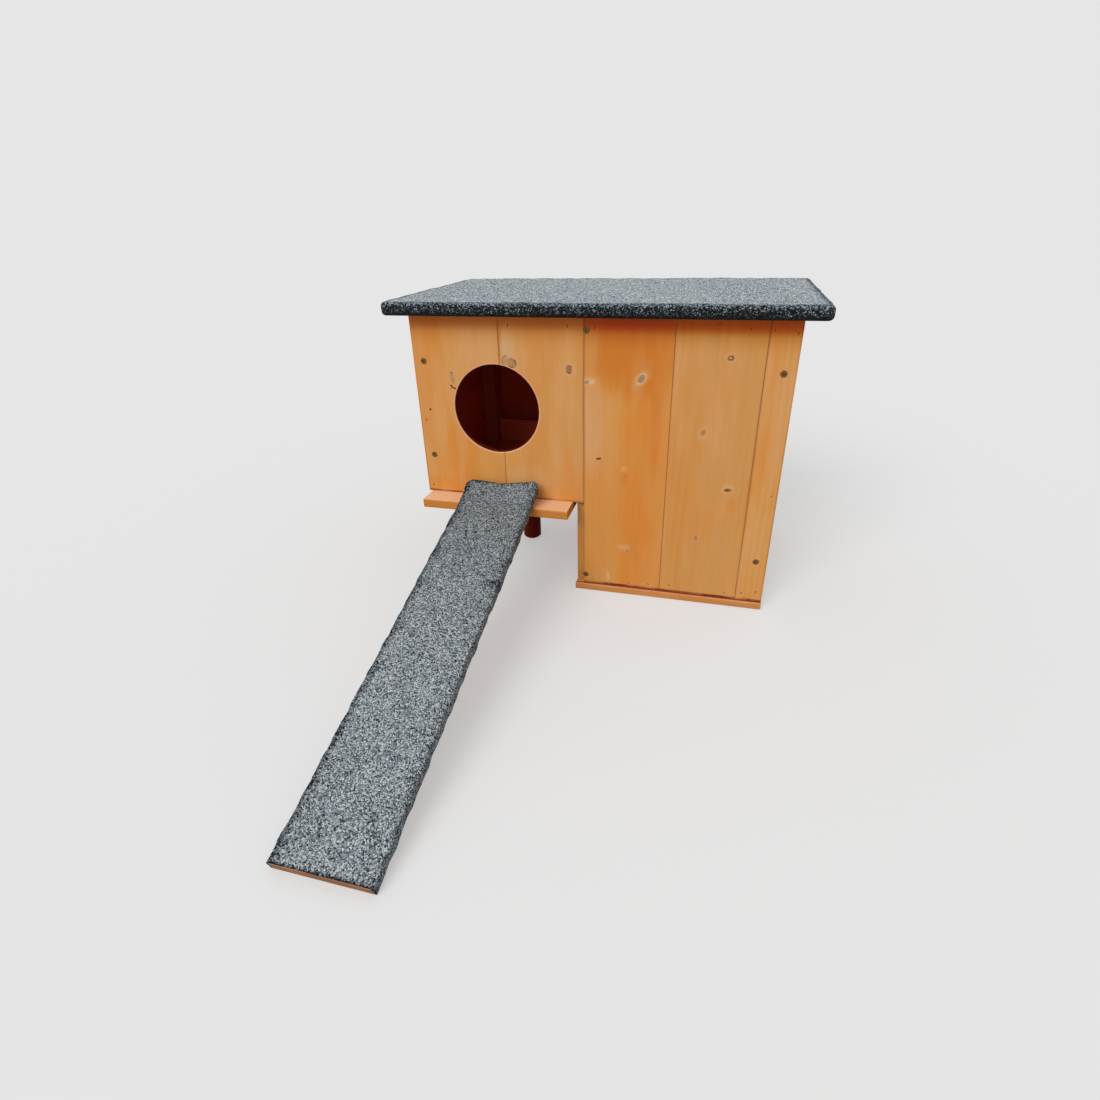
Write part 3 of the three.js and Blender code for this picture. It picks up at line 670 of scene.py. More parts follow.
# The other walls have the order of a board's axes, its number of knots and the way its inner face
# looks. The wall between the rooms has one on both sides, but its lowest board on the right only.
walls = {
    "entry_back_board": ("XYZ", 3, -1), "nest_back_board": ("XYZ", 3, -1), "left_side_board": ("ZXY", 2, 1),
    "right_side_board": ("ZXY", 2, -1), "inner_wall_board": ("ZXY", 2, 0)}
floor_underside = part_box("entry_floor_board_1")[0][2]
for row, (start, (order, count, way)) in enumerate(walls.items()):
    for index, name in enumerate(named(start)):
        seed = 31.0 + 7.1 * row + 2.9 * index
        chance = np.random.default_rng(int(seed * 10))
        look = {"pith_across": chance.uniform(-50, 50), "pith_depth": chance.uniform(14, 40),
                "lean": chance.uniform(-0.08, 0.08), "ring_width": chance.uniform(5.5, 9)}
        if name == "inner_wall_board_1":
            way = 1
        elif start == "inner_wall_board":
            room_from = (floor_underside - node_middle(name)[2]) / mm
            look["beyond"] = (0, room_from - 1, room_from)
            way = 0
        wooden(name, order, seed, knots=scattered_knots(name, order, count, int(seed * 10) + 1),
               inside=(1, way), **look)


# Porch floor and ledge
# Three 16 mm boards lie across the porch on its side walls and the leg. The front one runs out
# under the front boards as a landing ledge, with both arrises of its edge rounded.
ledge_wood = (190, 116, 40)
# The porch boards' tops are paler: partly trodden wood, partly painted light from above.
trodden_and_lit_wood = (236, 188, 146)
trodden_arris = 0.7 * mm
for index, name in enumerate(["entry_ledge_board", "entry_floor_board_1", "entry_floor_board_2"]):
    middle = node_middle(name) / mm
    behind_wall = front_face / mm - middle[1] + 1
    wooden(name, "YZX", 71.0 + 4.7 * index, trodden_arris, early=ledge_wood, sunned=(1, trodden_and_lit_wood, 0.95),
           inside=(1, 1), beyond=(0, behind_wall, behind_wall + 2),
           pith_depth=22, contrast=0.6, blush=0.15, glow=0.6)


# Porch leg
# One round post holds the porch up at its middle. It is a peeled and turned length of pine with a
# chamfered foot, soaked in a dark red-brown preservative before it is fixed from above. Its
# colour is set darker still as painted shade from under the porch.
leg_wood = (92, 18, 0)
pole_weld = 0.002 * mm
leg_chamfer = 4 * mm
leg_play = 0.2 * mm
leg_foot_arris = (1 * mm, 0.4 * mm)
leg_shine = 0.08
leg_steps = 72
leg_rings = 14


def surface(name, grid, around, closed, attributes=None, caps=()):
    """Mesh of a grid of points (rows, columns, 3). Rows wrap round if around is true and columns
    if closed is, and caps are further faces by their corners' numbers. Poles and seams are merged
    and the faces turned outwards."""
    rows, columns = grid.shape[:2]
    index = np.arange(rows * columns).reshape(rows, columns)
    if around:
        index = np.concatenate([index, index[:1]])
    if closed:
        index = np.concatenate([index, index[:, :1]], axis=1)
    corners = [index[:-1, :-1], index[1:, :-1], index[1:, 1:], index[:-1, 1:]]
    faces = np.stack(corners, axis=-1).reshape(-1, 4).tolist()
    mesh = bpy.data.meshes.new(name)
    mesh.from_pydata(grid.reshape(-1, 3).tolist(), [], faces + [list(cap) for cap in caps])
    for label, values in (attributes or {}).items():
        layer = mesh.attributes.new(label, "FLOAT", "POINT")
        layer.data.foreach_set("value", np.broadcast_to(values, grid.shape[:2]).astype(np.float32).ravel())
    shape = bmesh.new()
    shape.from_mesh(mesh)
    bmesh.ops.remove_doubles(shape, verts=shape.verts, dist=pole_weld)
    bmesh.ops.recalc_face_normals(shape, faces=shape.faces)
    shape.to_mesh(mesh)
    shape.free()
    mesh.shade_smooth()
    return mesh


def turned_leg(name):
    """A turned post: each ring of a profile of (radius, height) is carried round the post's axis,
    and its radius swells and shrinks a little with two slow waves round it."""
    low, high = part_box(name)
    middle = node_middle(name)
    radius = (high[0] - low[0]) / 2 - leg_play
    foot_radius = radius - leg_chamfer
    arris_in, arris_up = leg_foot_arris
    heights = np.linspace(low[2] + leg_chamfer, high[2], leg_rings)
    shaft = np.full(leg_rings, radius)
    profile_radius = np.concatenate([[0, foot_radius - arris_in, foot_radius], shaft, [0]])
    profile_height = np.concatenate([[low[2], low[2], low[2] + arris_up], heights, [high[2]]])
    angle = np.linspace(0, 2 * np.pi, leg_steps, endpoint=False)[:, None]
    climb = profile_height[None, :]
    sway = 1 + 0.006 * np.sin(3 * angle + 40 * climb) + 0.004 * np.sin(5 * angle - 25 * climb)
    reach = profile_radius[None, :] * np.minimum(sway, 1.008)
    grid = np.stack([middle[0] + reach * np.cos(angle), middle[1] + reach * np.sin(angle),
                     np.broadcast_to(climb, reach.shape)], axis=-1)
    mesh = surface(name + "_turned", grid, True, False)
    mesh.set_sharp_from_angle(angle=math.radians(40))
    return mesh


leg_material = wood("leg_wood", "XYZ", node_middle("porch_leg"), 5.5, early=leg_wood, blush=0.0, glow=0.0,
                    pith_depth=0.0, ring_width=4, contrast=0.8)
leg_material.node_tree.nodes["Principled BSDF"].inputs["Specular IOR Level"].default_value = leg_shine
stand_for("porch_leg", turned_leg("porch_leg"), leg_material)


# Screws and staples
# Six countersunk steel screws hold the front boards to the posts; their drive recess is lobed and
# their yellow coating has gone dull. Short wire staples pin the boards' ends to rails and base.
screw_tone = (140, 106, 56)
rust_tone = (84, 54, 24)
screw_head_depth = 3.4 * mm
screw_shank = 2 * mm
screw_recess = 1.7 * mm
crown_length = 5 * mm
crown_proud = 0.35 * mm
crown_dip = 1.6 * mm
wire_radius = 0.55 * mm


def steel(name, tone, dull_tone, matt, metal=0.85, lumps=900.0):
    """Coated steel: two tones in fine clouds, with faint scratches in roughness and relief."""
    material, tree, shader = new_material(name)
    spot = put(tree, "ShaderNodeTexCoord")["Object"]
    blotch = fade(cloud(spot, (lumps, lumps, lumps), 3.0), 0.4, 0.62)
    scratch = cloud(spot, (9000.0, 900.0, 1500.0))
    rough = blotch * 0.2 + matt + scratch * 0.12
    coat(shader, shade(blotch, colour(tone), colour(dull_tone)), rough, scratch, 0.4, 0.03 * mm)
    shader.inputs["Metallic"].default_value = metal
    return material


def screw_mesh(name, centre, axes, head, depth, length, shank, recess, lobes=6):
    """A countersunk screw: rings of (radius, lobing, depth below the face) are carried round its
    axis. The recess's rings swing in and out by the lobing times the cosine of its lobes. Its
    face looks against the last of its three axes, and its head tapers to the shank by depth."""
    edge = 0.35 * mm
    rim = 0.5 * mm
    round_steps = 48
    rings = np.array([
        (0, 0, recess), (0.34 * head, 0.2, recess), (0.42 * head, 0.2, edge), (0.46 * head, 0.16, 0),
        (0.6 * head, 0, 0), (head - edge, 0, 0), (head, 0, edge), (head, 0, rim),
        (shank, 0, depth), (shank, 0, length - 2 * shank), (0, 0, length)])
    angle = np.linspace(0, 2 * np.pi, round_steps, endpoint=False)[:, None]
    reach = rings[None, :, 0] * (1 + rings[None, :, 1] * np.cos(lobes * angle))
    across, up, inward = (np.asarray(axis, dtype=float) for axis in axes)
    grid = (centre + reach[..., None] * (np.cos(angle)[..., None] * across + np.sin(angle)[..., None] * up)
            + np.broadcast_to(rings[None, :, 2], reach.shape)[..., None] * inward)
    mesh = surface(name, grid, True, False)
    mesh.set_sharp_from_angle(angle=math.radians(35))
    return mesh


screw_steel = steel("screw_steel_dulled", screw_tone, rust_tone, 0.45, 0.6)
into_front = ((1, 0, 0), (0, 0, 1), (0, 1, 0))
for name in named("front_screw"):
    low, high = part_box(name)
    middle = node_middle(name)
    face = np.array([middle[0], low[1], middle[2]])
    mesh = screw_mesh(name + "_turned", face, into_front, (high[0] - low[0]) / 2, screw_head_depth,
                      high[1] - low[1], screw_shank, screw_recess)
    stand_for(name, mesh, screw_steel)


def staple_grid(x, z, y, tilt):
    """Wire staple as round sections carried along a crown: the path runs level and dips into the
    wood at both ends, by its height proud of the face less a sixth power of the run."""
    run = np.linspace(-1, 1, 14)
    along = crown_length / 2 * np.sin(run * np.pi / 2)
    out = crown_proud - crown_dip * np.abs(run) ** 6
    around = np.linspace(0, 2 * np.pi, 8, endpoint=False)
    thick = wire_radius * np.clip(1.001 - np.abs(run) ** 12, 0, 1)
    section_z = np.cos(around)[None, :] * thick[:, None]
    section_y = np.sin(around)[None, :] * thick[:, None]
    local = np.stack([np.broadcast_to(along[:, None], section_z.shape), section_z], axis=-1)
    turn = np.array([[math.cos(tilt), -math.sin(tilt)], [math.sin(tilt), math.cos(tilt)]])
    flat = local @ turn.T
    return np.stack([x + flat[..., 0], y - out[:, None] - section_y * 0.6, z + flat[..., 1]], axis=-1)


staple_steel = steel("staple_steel", (150, 94, 48), (104, 60, 28), 0.6, 0.2)
for label, places in front_staples.items():
    merged = bmesh.new()
    for x, z, tilt in places:
        one = surface("staple", staple_grid(x * mm, z * mm, front_face, math.radians(tilt)), False, True)
        merged.from_mesh(one)
        bpy.data.meshes.remove(one)
    mesh = bpy.data.meshes.new(f"front_staples_{label}")
    bmesh.ops.holes_fill(merged, edges=merged.edges)
    merged.to_mesh(mesh)
    merged.free()
    mesh.shade_smooth()
    mesh.materials.append(staple_steel)
    staples = added(f"front_staples_{label}", mesh)
    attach(staples, "house")


# Hinges
# Two zinc-plated butt hinges join the lid to the back wall, their knuckles rolled round a pin.
# Each leaf is pressed from 1.5 mm strip and held by two small countersunk screws.
leaf_arris = 0.25 * mm
zinc = steel("hinge_zinc", (176, 180, 184), (140, 145, 150), 0.3, lumps=300.0)
for name in named("hinge_"):
    keep_flats(stand_for(name, softened(name, leaf_arris), zinc))

leaf_thickness = 1.5 * mm
small_head_radius = 1.9 * mm
small_head_depth = 1.4 * mm
small_length = 9 * mm
small_shank = 1 * mm
small_recess = 0.8 * mm
hole_from_end = 10 * mm
hole_from_rim = 6 * mm
into_wall = ((1, 0, 0), (0, 0, 1), (0, -1, 0))
into_lid = ((1, 0, 0), (0, 1, 0), (0, 0, 1))
hinge_screw_steel = steel("hinge_screw_zinc", (190, 188, 180), (150, 146, 136), 0.35)
for side in ("left", "right"):
    low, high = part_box(f"hinge_wall_leaf_{side}")
    lid_leaf_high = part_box(f"hinge_lid_leaf_{side}")[1]
    for end, x in (("a", low[0] + hole_from_end), ("b", high[0] - hole_from_end)):
        on_wall = (x, low[1] + leaf_thickness, low[2] + hole_from_rim)
        on_lid = (x, lid_leaf_high[1] - hole_from_rim, lid_leaf_high[2] - leaf_thickness)
        leaves = (("wall", on_wall, into_wall, "house"), ("lid", on_lid, into_lid, "lid"))
        for leaf, centre, axes, body in leaves:
            label = f"hinge_screw_{leaf}_{side}_{end}"
            mesh = screw_mesh(label, np.array(centre), axes, small_head_radius, small_head_depth,
                              small_length, small_shank, small_recess, 4)
            mesh.materials.append(hinge_screw_steel)
            screw = added(label, mesh)
            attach(screw, body)


# Lid boards and battens
# Three 16 mm boards run the lid's length and two battens tie them from below, inside the walls.
# The underside stays open to view when the lid is up, so it is planed and stained too.
lid_low, lid_high = (np.array(corner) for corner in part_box("lid_felt"))
boards_from_rim = 3.5 * mm
rim_reach = 2.6 * mm
lower_arris = 4.5 * mm


def on_lower_rim(spot):
    """Whether an edge's middle lies on the boards' outer lower arris: at their underside, and no
    further in from the lid's outline than the boards start."""
    outline = np.minimum(np.array(spot)[:2] - lid_low[:2], lid_high[:2] - np.array(spot)[:2])
    return spot[2] < lid_low[2] + 0.1 * mm and outline.min() < boards_from_rim + rim_reach


for index, name in enumerate(named("lid_board")):
    wooden(name, "YZX", 83.0 + 3.7 * index, knots=scattered_knots(name, "YZX", 4, 830 + index),
           rounder=(on_lower_rim, lower_arris), pith_depth=24, ring_width=6, lean=0.04)
for index, name in enumerate(named("lid_batten")):
    wooden(name, "XZY", 97.0 + 2.1 * index, batten_arris, "frame_wood", early=batten_wood,
           knots=scattered_knots(name, "XZY", 2, 970 + index, 5), ring_width=4)


# Lid felt
# One sheet of bitumen felt with slate granules covers the lid. It is folded down over the edges
# and nailed under them, so its arris is soft and its skirt waves a little. The skirt is darker,
# partly bare bitumen and partly painted shade.
bitumen = (13, 13, 14)
slate_dark = (56, 66, 72)
slate_mid = (138, 149, 157)
slate_light = (218, 224, 226)
felt_thickness = 1.8 * mm
lid_felt_inset = 0.7 * mm
lid_corner = 12 * mm
lid_arris = 6.5 * mm
lid_hem = 6 * mm
lid_back_hem = 2.8 * mm
hem_drop = 1.3 * mm
lid_grains = 670.0
lid_step = 2.6 * mm
felt_shine = 0.12
# Between these heights the ramp's felt darkens towards the ledge, as painted shade.
ledge_shade_heights = (90 * mm, 185 * mm)
granule_lift = 0.32 * mm
hem_curl = 0.4 * mm
worn_rim = 8 * mm


def make_felt_effect():
    """Granules pressed into bitumen: cells of a Voronoi pattern, each with its own chance number
    that picks dark, middle or light slate, with bitumen in the cracks between them. A wrap of 1,
    at a fold, sinks or knocks off most granules and leaves the bitumen bare; the darkness that
    wrap brings to folds and skirts is also painted shade."""
    plain = (0.5, 0.5, 0.5, 1.0)
    inputs = {"Vector": (0.0, 0.0, 0.0), "Wrap": 0.0, "Grains": 600.0, "Level": 1.0, "Bitumen": plain,
              "Dark": plain, "Middle": plain, "Light": plain}
    tree, given = effect("mineral_felt", inputs, {"Color": plain, "Roughness": 0.9, "Height": 0.0})
    bend = cloud(given["Vector"], (240.0, 240.0, 240.0))
    nudge = calc_vector("MULTIPLY", joined(bend, bend, bend), (2 * mm, -2 * mm, 2 * mm))
    spot = calc_vector("ADD", given["Vector"], nudge)
    cells = put(tree, "ShaderNodeTexVoronoi", {"Vector": spot, "Scale": given["Grains"], "Randomness": 1.0})
    chance = put(tree, "ShaderNodeSeparateColor", {0: cells["Color"]})
    clump = cloud(given["Vector"], (130.0, 130.0, 130.0), 3.0) - 0.5
    pick = given["Wrap"] * -0.73 + (clump * 0.5 + chance[0])
    tone = shade(fade(pick, -0.12, 0.1), given["Bitumen"], given["Dark"])
    tone = shade(fade(pick, 0.1, 0.4), tone, given["Middle"])
    tone = shade(fade(pick, 0.5, 0.95), tone, given["Light"])
    tone = shade(fade(cells["Distance"], 0.5, 0.8) * 0.5, tone, given["Bitumen"])
    slow = cloud(given["Vector"], (11.0, 11.0, 11.0), 3.0)
    dome = fade(cells["Distance"], 0.75, 0.1) * (0.35 * mm)
    put(tree, "NodeGroupOutput", {
        "Color": dimmed(tone, slow * 0.16 + given["Level"]), "Roughness": pick * 0.2 + 0.72,
        "Height": dome * 0.6 + chance[1] * dome})
    return tree


def felt(name, grains, level, top_shade=0.0):
    """Granule felt with its wrap taken from the sheet's own attribute. Its last argument is how
    much darker it is made towards the height of the ledge, as painted shade."""
    material, tree, shader = new_material(name)
    spot = put(tree, "ShaderNodeTexCoord")["Object"]
    ledge_share = fade(parts_of(spot)[2], *ledge_shade_heights)
    wires = {"Vector": spot, "Level": ledge_share * -top_shade + level, "Grains": grains,
             "Wrap": put(tree, "ShaderNodeAttribute", attribute_name="wrap")["Fac"],
             "Bitumen": colour(bitumen), "Dark": colour(slate_dark), "Middle": colour(slate_mid),
             "Light": colour(slate_light)}
    slate = put(tree, "ShaderNodeGroup", wires, node_tree=felt_effect)
    coat(shader, slate["Color"], slate["Roughness"], slate["Height"], 0.8)
    shader.inputs["Specular IOR Level"].default_value = felt_shine
    return material


felt_effect = make_felt_effect()


def folded_sheet(path, normals, spine, fold, waves, roughness, seed):
    """Points of a sheet folded over an edge, with its wraps. The fold is its height, the radii of
    its arris and its hem, and how far the spine lies in. Its section starts at the spine and goes
    over the arris, down the skirt, round the hem and back inside, where each arc is a quarter
    circle of its own radius. At each path point the section is set off along the normal and its
    flats are drawn towards the spine. Slow waves and a seeded grain move the outside along its
    own normal. Returns arrays (path, section, 3) and (path, section)."""
    height, arris, hem, half = (np.asarray(size, dtype=float) for size in fold)
    thickness = felt_thickness
    hem = np.broadcast_to(hem, len(path))[:, None]
    deep = np.maximum(hem, thickness)
    row = np.ones_like(hem)
    flat = np.linspace(0, 1, 30)[None, :]
    turn = np.linspace(0, np.pi / 2, 7)[None, 1:]
    back_turn = turn[:, ::-1]
    inner = arris - thickness
    near_edge = np.clip(1 - (1 - flat ** 0.6) * half / worn_rim, 0, 1)
    drop = np.linspace(0, 1, 8)[None, 1:]
    lip = np.array([[0.15, 0.5, 0.85]])
    parts = [
        (1 - flat ** 0.6, -arris, height, 0, 1, 0.6 * near_edge ** 1.5, 1),
        (0, arris * np.sin(turn) - arris, height - arris * (1 - np.cos(turn)), np.sin(turn), np.cos(turn),
         0.35 + 0.35 * turn, 1),
        (0, 0 * drop, height - arris + (hem + arris - height) * drop, 1, 0, 0.82 + 0.2 * drop, 1),
        (0, hem * (np.cos(turn) - 1), hem * (1 - np.sin(turn)), np.cos(turn), 0, 1.1 + 0.2 * turn, 1),
        (0, -hem - hem_curl * np.sin(np.pi * lip), thickness * lip, 0, 0, 1.1, 0),
        (0, -deep + (deep - thickness) * np.cos(back_turn), deep - (deep - thickness) * np.sin(back_turn),
         0, 0, 1, 0),
        (0, -arris + inner * np.sin(back_turn), height - arris + inner * np.cos(back_turn), 0, 0, 1, 0),
        (np.array([[0.5, 1]]), -arris, height - thickness, 0, 0, 1, 0)]
    columns = [np.concatenate([np.broadcast_to(part[i], np.broadcast_shapes(*map(np.shape, part), row.shape))
                               for part in parts], axis=1) for i in range(7)]
    pull, offset, climb, out, up, wrap, grainy = columns
    place = path[:, None, :] + normals[:, None, :] * offset[..., None]
    place = place + (spine[:, None, :] - place) * pull[..., None]
    x, y = place[..., 0], place[..., 1]
    slow = sum(np.sin(2 * np.pi * (x * fx + y * fy) + phase) for fx, fy, phase in waves) / len(waves)
    grain = np.random.default_rng(seed).uniform(-1, 1, x.shape) * grainy * (pull < 0.999)
    lift = slow * roughness * (0.5 + 0.7 * wrap) + grain * granule_lift
    place = place + normals[:, None, :] * (lift * out)[..., None]
    return np.concatenate([place, (climb + lift * up)[..., None]], axis=-1), wrap


def round_walk(low, high, corner, step):
    """Walk round a rectangle with round corners, anticlockwise from its front right corner, with
    arcs and straights at about equal steps. Returns points and outward normals."""
    centres = [(high[0] - corner, low[1] + corner), (high[0] - corner, high[1] - corner),
               (low[0] + corner, high[1] - corner), (low[0] + corner, low[1] + corner)]
    points, normals = [], []
    for quarter, centre in enumerate(centres):
        angle = (quarter - 1) * np.pi / 2 + np.linspace(0, np.pi / 2, 9)
        round_normals = np.stack([np.cos(angle), np.sin(angle)], axis=1)
        arc = np.array(centre) + corner * round_normals
        after = np.array(centres[(quarter + 1) % 4]) + corner * round_normals[-1]
        count = int(np.linalg.norm(after - arc[-1]) / step)
        share = np.linspace(0, 1, count, endpoint=False)[1:, None]
        points += [arc, arc[-1] + (after - arc[-1]) * share]
        normals += [round_normals, np.broadcast_to(round_normals[-1], (count - 1, 2))]
    return np.concatenate(points), np.concatenate(normals)


lid_waves = [(5.1, 2.3, 0.4), (-3.3, 7.9, 1.9), (11.7, 4.1, 2.2), (17.3, -13.1, 4.0), (-23.0, 19.0, 5.2)]
half_lid = (lid_high[1] - lid_low[1]) / 2
path, normals = round_walk(lid_low[:2] + lid_felt_inset, lid_high[:2] - lid_felt_inset,
                           lid_corner - lid_felt_inset, lid_step)
spine = np.stack([np.clip(path[:, 0], lid_low[0] + half_lid, lid_high[0] - half_lid),
                  np.full(len(path), (lid_low[1] + lid_high[1]) / 2)], axis=1)
hem = lid_hem - (lid_hem - lid_back_hem) * np.clip(normals[:, 1] * 1.5, 0, 1)
fold = (lid_high[2] - lid_low[2] - lid_felt_inset + hem_drop, lid_arris, hem, half_lid)
sheet, wrap = folded_sheet(path, normals, spine, fold, lid_waves, 1.1 * mm, 401)
sheet[..., 2] += lid_low[2] - hem_drop
sheet = np.clip(sheet, lid_low - [0, 0, hem_drop], lid_high)
lid_sheet = surface("lid_felt_sheet", sheet, True, False, {"wrap": wrap})
# The lid's felt level is raised above the ramp's: painted light on the lid.
stand_for("lid_felt", lid_sheet, felt("lid_granule_felt", lid_grains, 1.07))


# Ramp board and cleat
# The ramp is one 14 mm board with rounded top corners, cut square at its foot. A batten screwed
# across its underside stops against the ledge and keeps it from sliding.
ramp_wood = (190, 124, 74)
# The dark strip on the ramp's down-facing foot end is painted shade.
shaded_end_wood = (120, 84, 60)


def node_points(name):
    """Corners of a node's own mesh."""
    mesh = nodes[name].data
    points = np.empty(len(mesh.vertices) * 3)
    mesh.vertices.foreach_get("co", points)
    return points.reshape(-1, 3)


cleat_corners = np.unique(node_points("ramp_cleat").round(6), axis=0)
cleat_axes = np.linalg.svd(cleat_corners - cleat_corners.mean(axis=0))[2]
ramp_up = cleat_axes[1] * np.sign(cleat_axes[1][2])
ramp_right = np.array([1.0, 0.0, 0.0])
ramp_out = np.cross(ramp_right, ramp_up)
ramp_slope = math.atan2(ramp_up[2], ramp_up[1])
# The patch at the foot end is painted shade.
wooden("ramp_board", "XZY", 61.0, batten_arris, turn=ramp_slope, early=ramp_wood,
       patches=[(0, -326, 120, 7, 1.0, shaded_end_wood)],
       knots=[(20, -180, 6, 9, 20, "soft"), (-30, 60, 7, 11, -20, "dark"), (25, 220, 5, 8, 5, "soft")],
       blush=0.2, glow=0.2)
wooden("ramp_cleat", "YZX", 67.0, batten_arris, "frame_wood", turn=ramp_slope, early=batten_wood,
       ring_width=4)


# Ramp felt
# The ramp's top and sides are wrapped in the same felt so that the ducks don't slip. It is cut
# off flush with the board's foot, where its edge and the bare wood show.
ramp_felt_inset = 0.8 * mm
ramp_corner = 13 * mm
ramp_arris = 3.4 * mm
ramp_hem = 1.4 * mm
ramp_grains = 680.0
ramp_step = 2.2 * mm
raised_length = 62 * mm
raised_height = 5.5 * mm
raised_left = 4.5 * mm
raised_right = 15 * mm
raised_ahead = 1.2 * mm
corner_out = 8 * mm
crease_from_top = 228 * mm
crease_half = 9 * mm
crease_out = 1.9 * mm
ripple_out = 0.42 * mm
ripple_start = 20 * mm
cut_length = 12 * mm
cut_depth = 1 * mm
bare_foot = 4 * mm
bare_top = 5 * mm
bare_brim = 16 * mm
ramp_axes = np.stack([ramp_right, ramp_up, ramp_out])
own_points = node_points("ramp_felt") @ ramp_axes.T
own_low, own_high = own_points.min(axis=0), own_points.max(axis=0)


def open_walk(low, high, corner, step):
    """Walk up a slab's left side, round its top end's two corners and down its right side, with
    straights and arcs at about equal steps. Returns points and outward normals."""
    up_count = int((high[1] - corner - low[1]) / step)
    rise = np.linspace(low[1], high[1] - corner, up_count, endpoint=False)
    cross_count = int((high[0] - low[0] - 2 * corner) / step)
    crossing = np.linspace(low[0] + corner, high[0] - corner, cross_count + 2)[1:-1]
    turn = np.linspace(np.pi, np.pi / 2, 12)
    arc = np.stack([np.cos(turn), np.sin(turn)], axis=1)
    left_side = np.stack([np.full(up_count, low[0]), rise], axis=1)
    left_arc = np.array([low[0] + corner, high[1] - corner]) + corner * arc
    end = np.stack([crossing, np.full(cross_count, high[1])], axis=1)
    middle = (low[0] + high[0]) / 2
    half = np.concatenate([left_side, left_arc])
    half_normals = np.concatenate([np.broadcast_to([-1.0, 0.0], (up_count, 2)), arc])
    mirrored = np.stack([2 * middle - half[::-1, 0], half[::-1, 1]], axis=1)
    mirrored_normals = half_normals[::-1] * [-1, 1]
    end_normals = np.broadcast_to([0.0, 1.0], (cross_count, 2))
    walk = np.concatenate([half, end, mirrored])
    return walk, np.concatenate([half_normals, end_normals, mirrored_normals])


def swing(place, waves, phase):
    """Sine of a number of waves per metre along a place, with its phase."""
    return np.sin(2 * np.pi * waves * place + phase)


def near(distance, reach):
    """1 at a distance of 0, falling evenly to 0 at the reach."""
    return np.clip(1 - distance / reach, 0, 1)


ramp_waves = [(7.1, 4.3, 1.4), (-6.3, 9.9, 0.9), (13.7, 11.1, 3.2), (-19.3, 15.1, 2.0), (21.0, 23.0, 4.2)]
ramp_middle = (own_low[0] + own_high[0]) / 2
half_ramp = (own_high[0] - own_low[0]) / 2
path, normals = open_walk(own_low[:2] + [ramp_felt_inset, 0], own_high[:2] - ramp_felt_inset, ramp_corner,
                          ramp_step)
spine = np.stack([np.full(len(path), ramp_middle),
                  np.clip(path[:, 1], own_low[1], own_high[1] - half_ramp)], axis=1)
fold = (own_high[2] - own_low[2] - ramp_felt_inset, ramp_arris, ramp_hem, half_ramp)
sheet, wrap = folded_sheet(path, normals, spine, fold, ramp_waves, 0.8 * mm, 402)
sheet[..., 2] += own_low[2]
sheet = np.clip(sheet, own_low, own_high)
along = sheet[..., 1] - own_low[1]
from_top = own_high[1] - sheet[..., 1]
to_right = np.clip((sheet[..., 0] - ramp_middle) / half_ramp, -1, 1)
to_side = np.abs(to_right)

# The top end stands up from the ledge, most at its right corner. A crease crosses the right edge,
# and both long edges ripple.
near_top = near(from_top, raised_length) ** 1.5
left_share, right_share = (np.clip(way * to_right - 0.1, 0, 1) for way in (-1, 1))
bulge = raised_height + raised_left * left_share + raised_right * right_share ** 1.2
creased = np.exp(-((from_top - crease_from_top) / crease_half) ** 2) * np.clip((to_right - 0.5) / 0.5, 0, 1)
ripple = swing(along, 23, 0.4) + 0.8 * swing(along, 41, 2.2 * np.sign(to_right))
sideways = near_top ** 2 * np.clip(to_right, 0, 1) ** 4 * corner_out + creased ** 2 * crease_out
sideways = sideways + to_side ** 8 * ripple * ripple_out * np.clip(along / ripple_start, 0, 1)
sheet = sheet + np.stack([sideways, near_top * raised_ahead, near_top * bulge], axis=-1)

# The foot is cut unevenly between its corners. Granules are missing along every edge and the crease.
cut = 0.5 + 0.6 * swing(sheet[..., 0], 17, 1.2) + 0.4 * swing(sheet[..., 0], 43, 2.6)
cut = np.clip(cut, 0, None) * np.clip((1 - to_side) / 0.1, 0, 1)
sheet[..., 1] += near(sheet[..., 1] - own_low[1], cut_length) * cut * cut_depth
at_foot = near(sheet[..., 1] - own_low[1], bare_foot)
at_top = near(own_high[1] - sheet[..., 1], bare_top)
uneven = 0.7 + 0.45 * swing(along, 13, 0.7) + 0.35 * swing(along, 31, 2.9)
# The right skirt and brim keep more light granules than the left: painted light on the side the lamp leaves
# in shade.
brim = near(half_ramp * (1 - to_side), bare_brim) * (0.42 - 0.26 * to_right) * uneven
wrap = np.maximum.reduce([wrap * (0.5 - 0.34 * to_right), brim, at_foot, 0.8 * at_top, 0.65 * creased])
sheet = sheet @ ramp_axes
rows, columns = sheet.shape[:2]
foot_caps = [range(columns), range(rows * columns - 1, (rows - 1) * columns - 1, -1)]
ramp_sheet = surface("ramp_felt_sheet", sheet, False, False, {"wrap": wrap}, foot_caps)
# The ramp's felt level is lowered below the lid's: painted shade on the ramp.
stand_for("ramp_felt", ramp_sheet, felt("ramp_granule_felt", ramp_grains, 0.72, 0.2))


# Studio
# A plain pale floor, an even sky and one soft lamp from the front, above and to the left. The
# camera stands in front, to the right of the house, and looks down on it.
backdrop_tone = (230, 230, 230)
floor_tone = (231, 231, 231)
floor_bounce_tone = (170, 170, 170)
own_glow = 0.5
full_glow_from = (0.9, 2.4)
floor_reach = 30.0
floor_gap = 0.3 * mm
sky_strength = 0.62
lamp_strength = 1.9
lamp_softness = math.radians(36)
lamp_turn = (math.radians(52), 0.0, math.radians(-20))
camera_place = (0.1987, -1.1354, 0.6119)
camera_yaw, camera_pitch, camera_roll = -0.2751, 0.4926, -0.0283
photo_pixels = 1100
focal_pixels = 626.9
sensor = 36.0


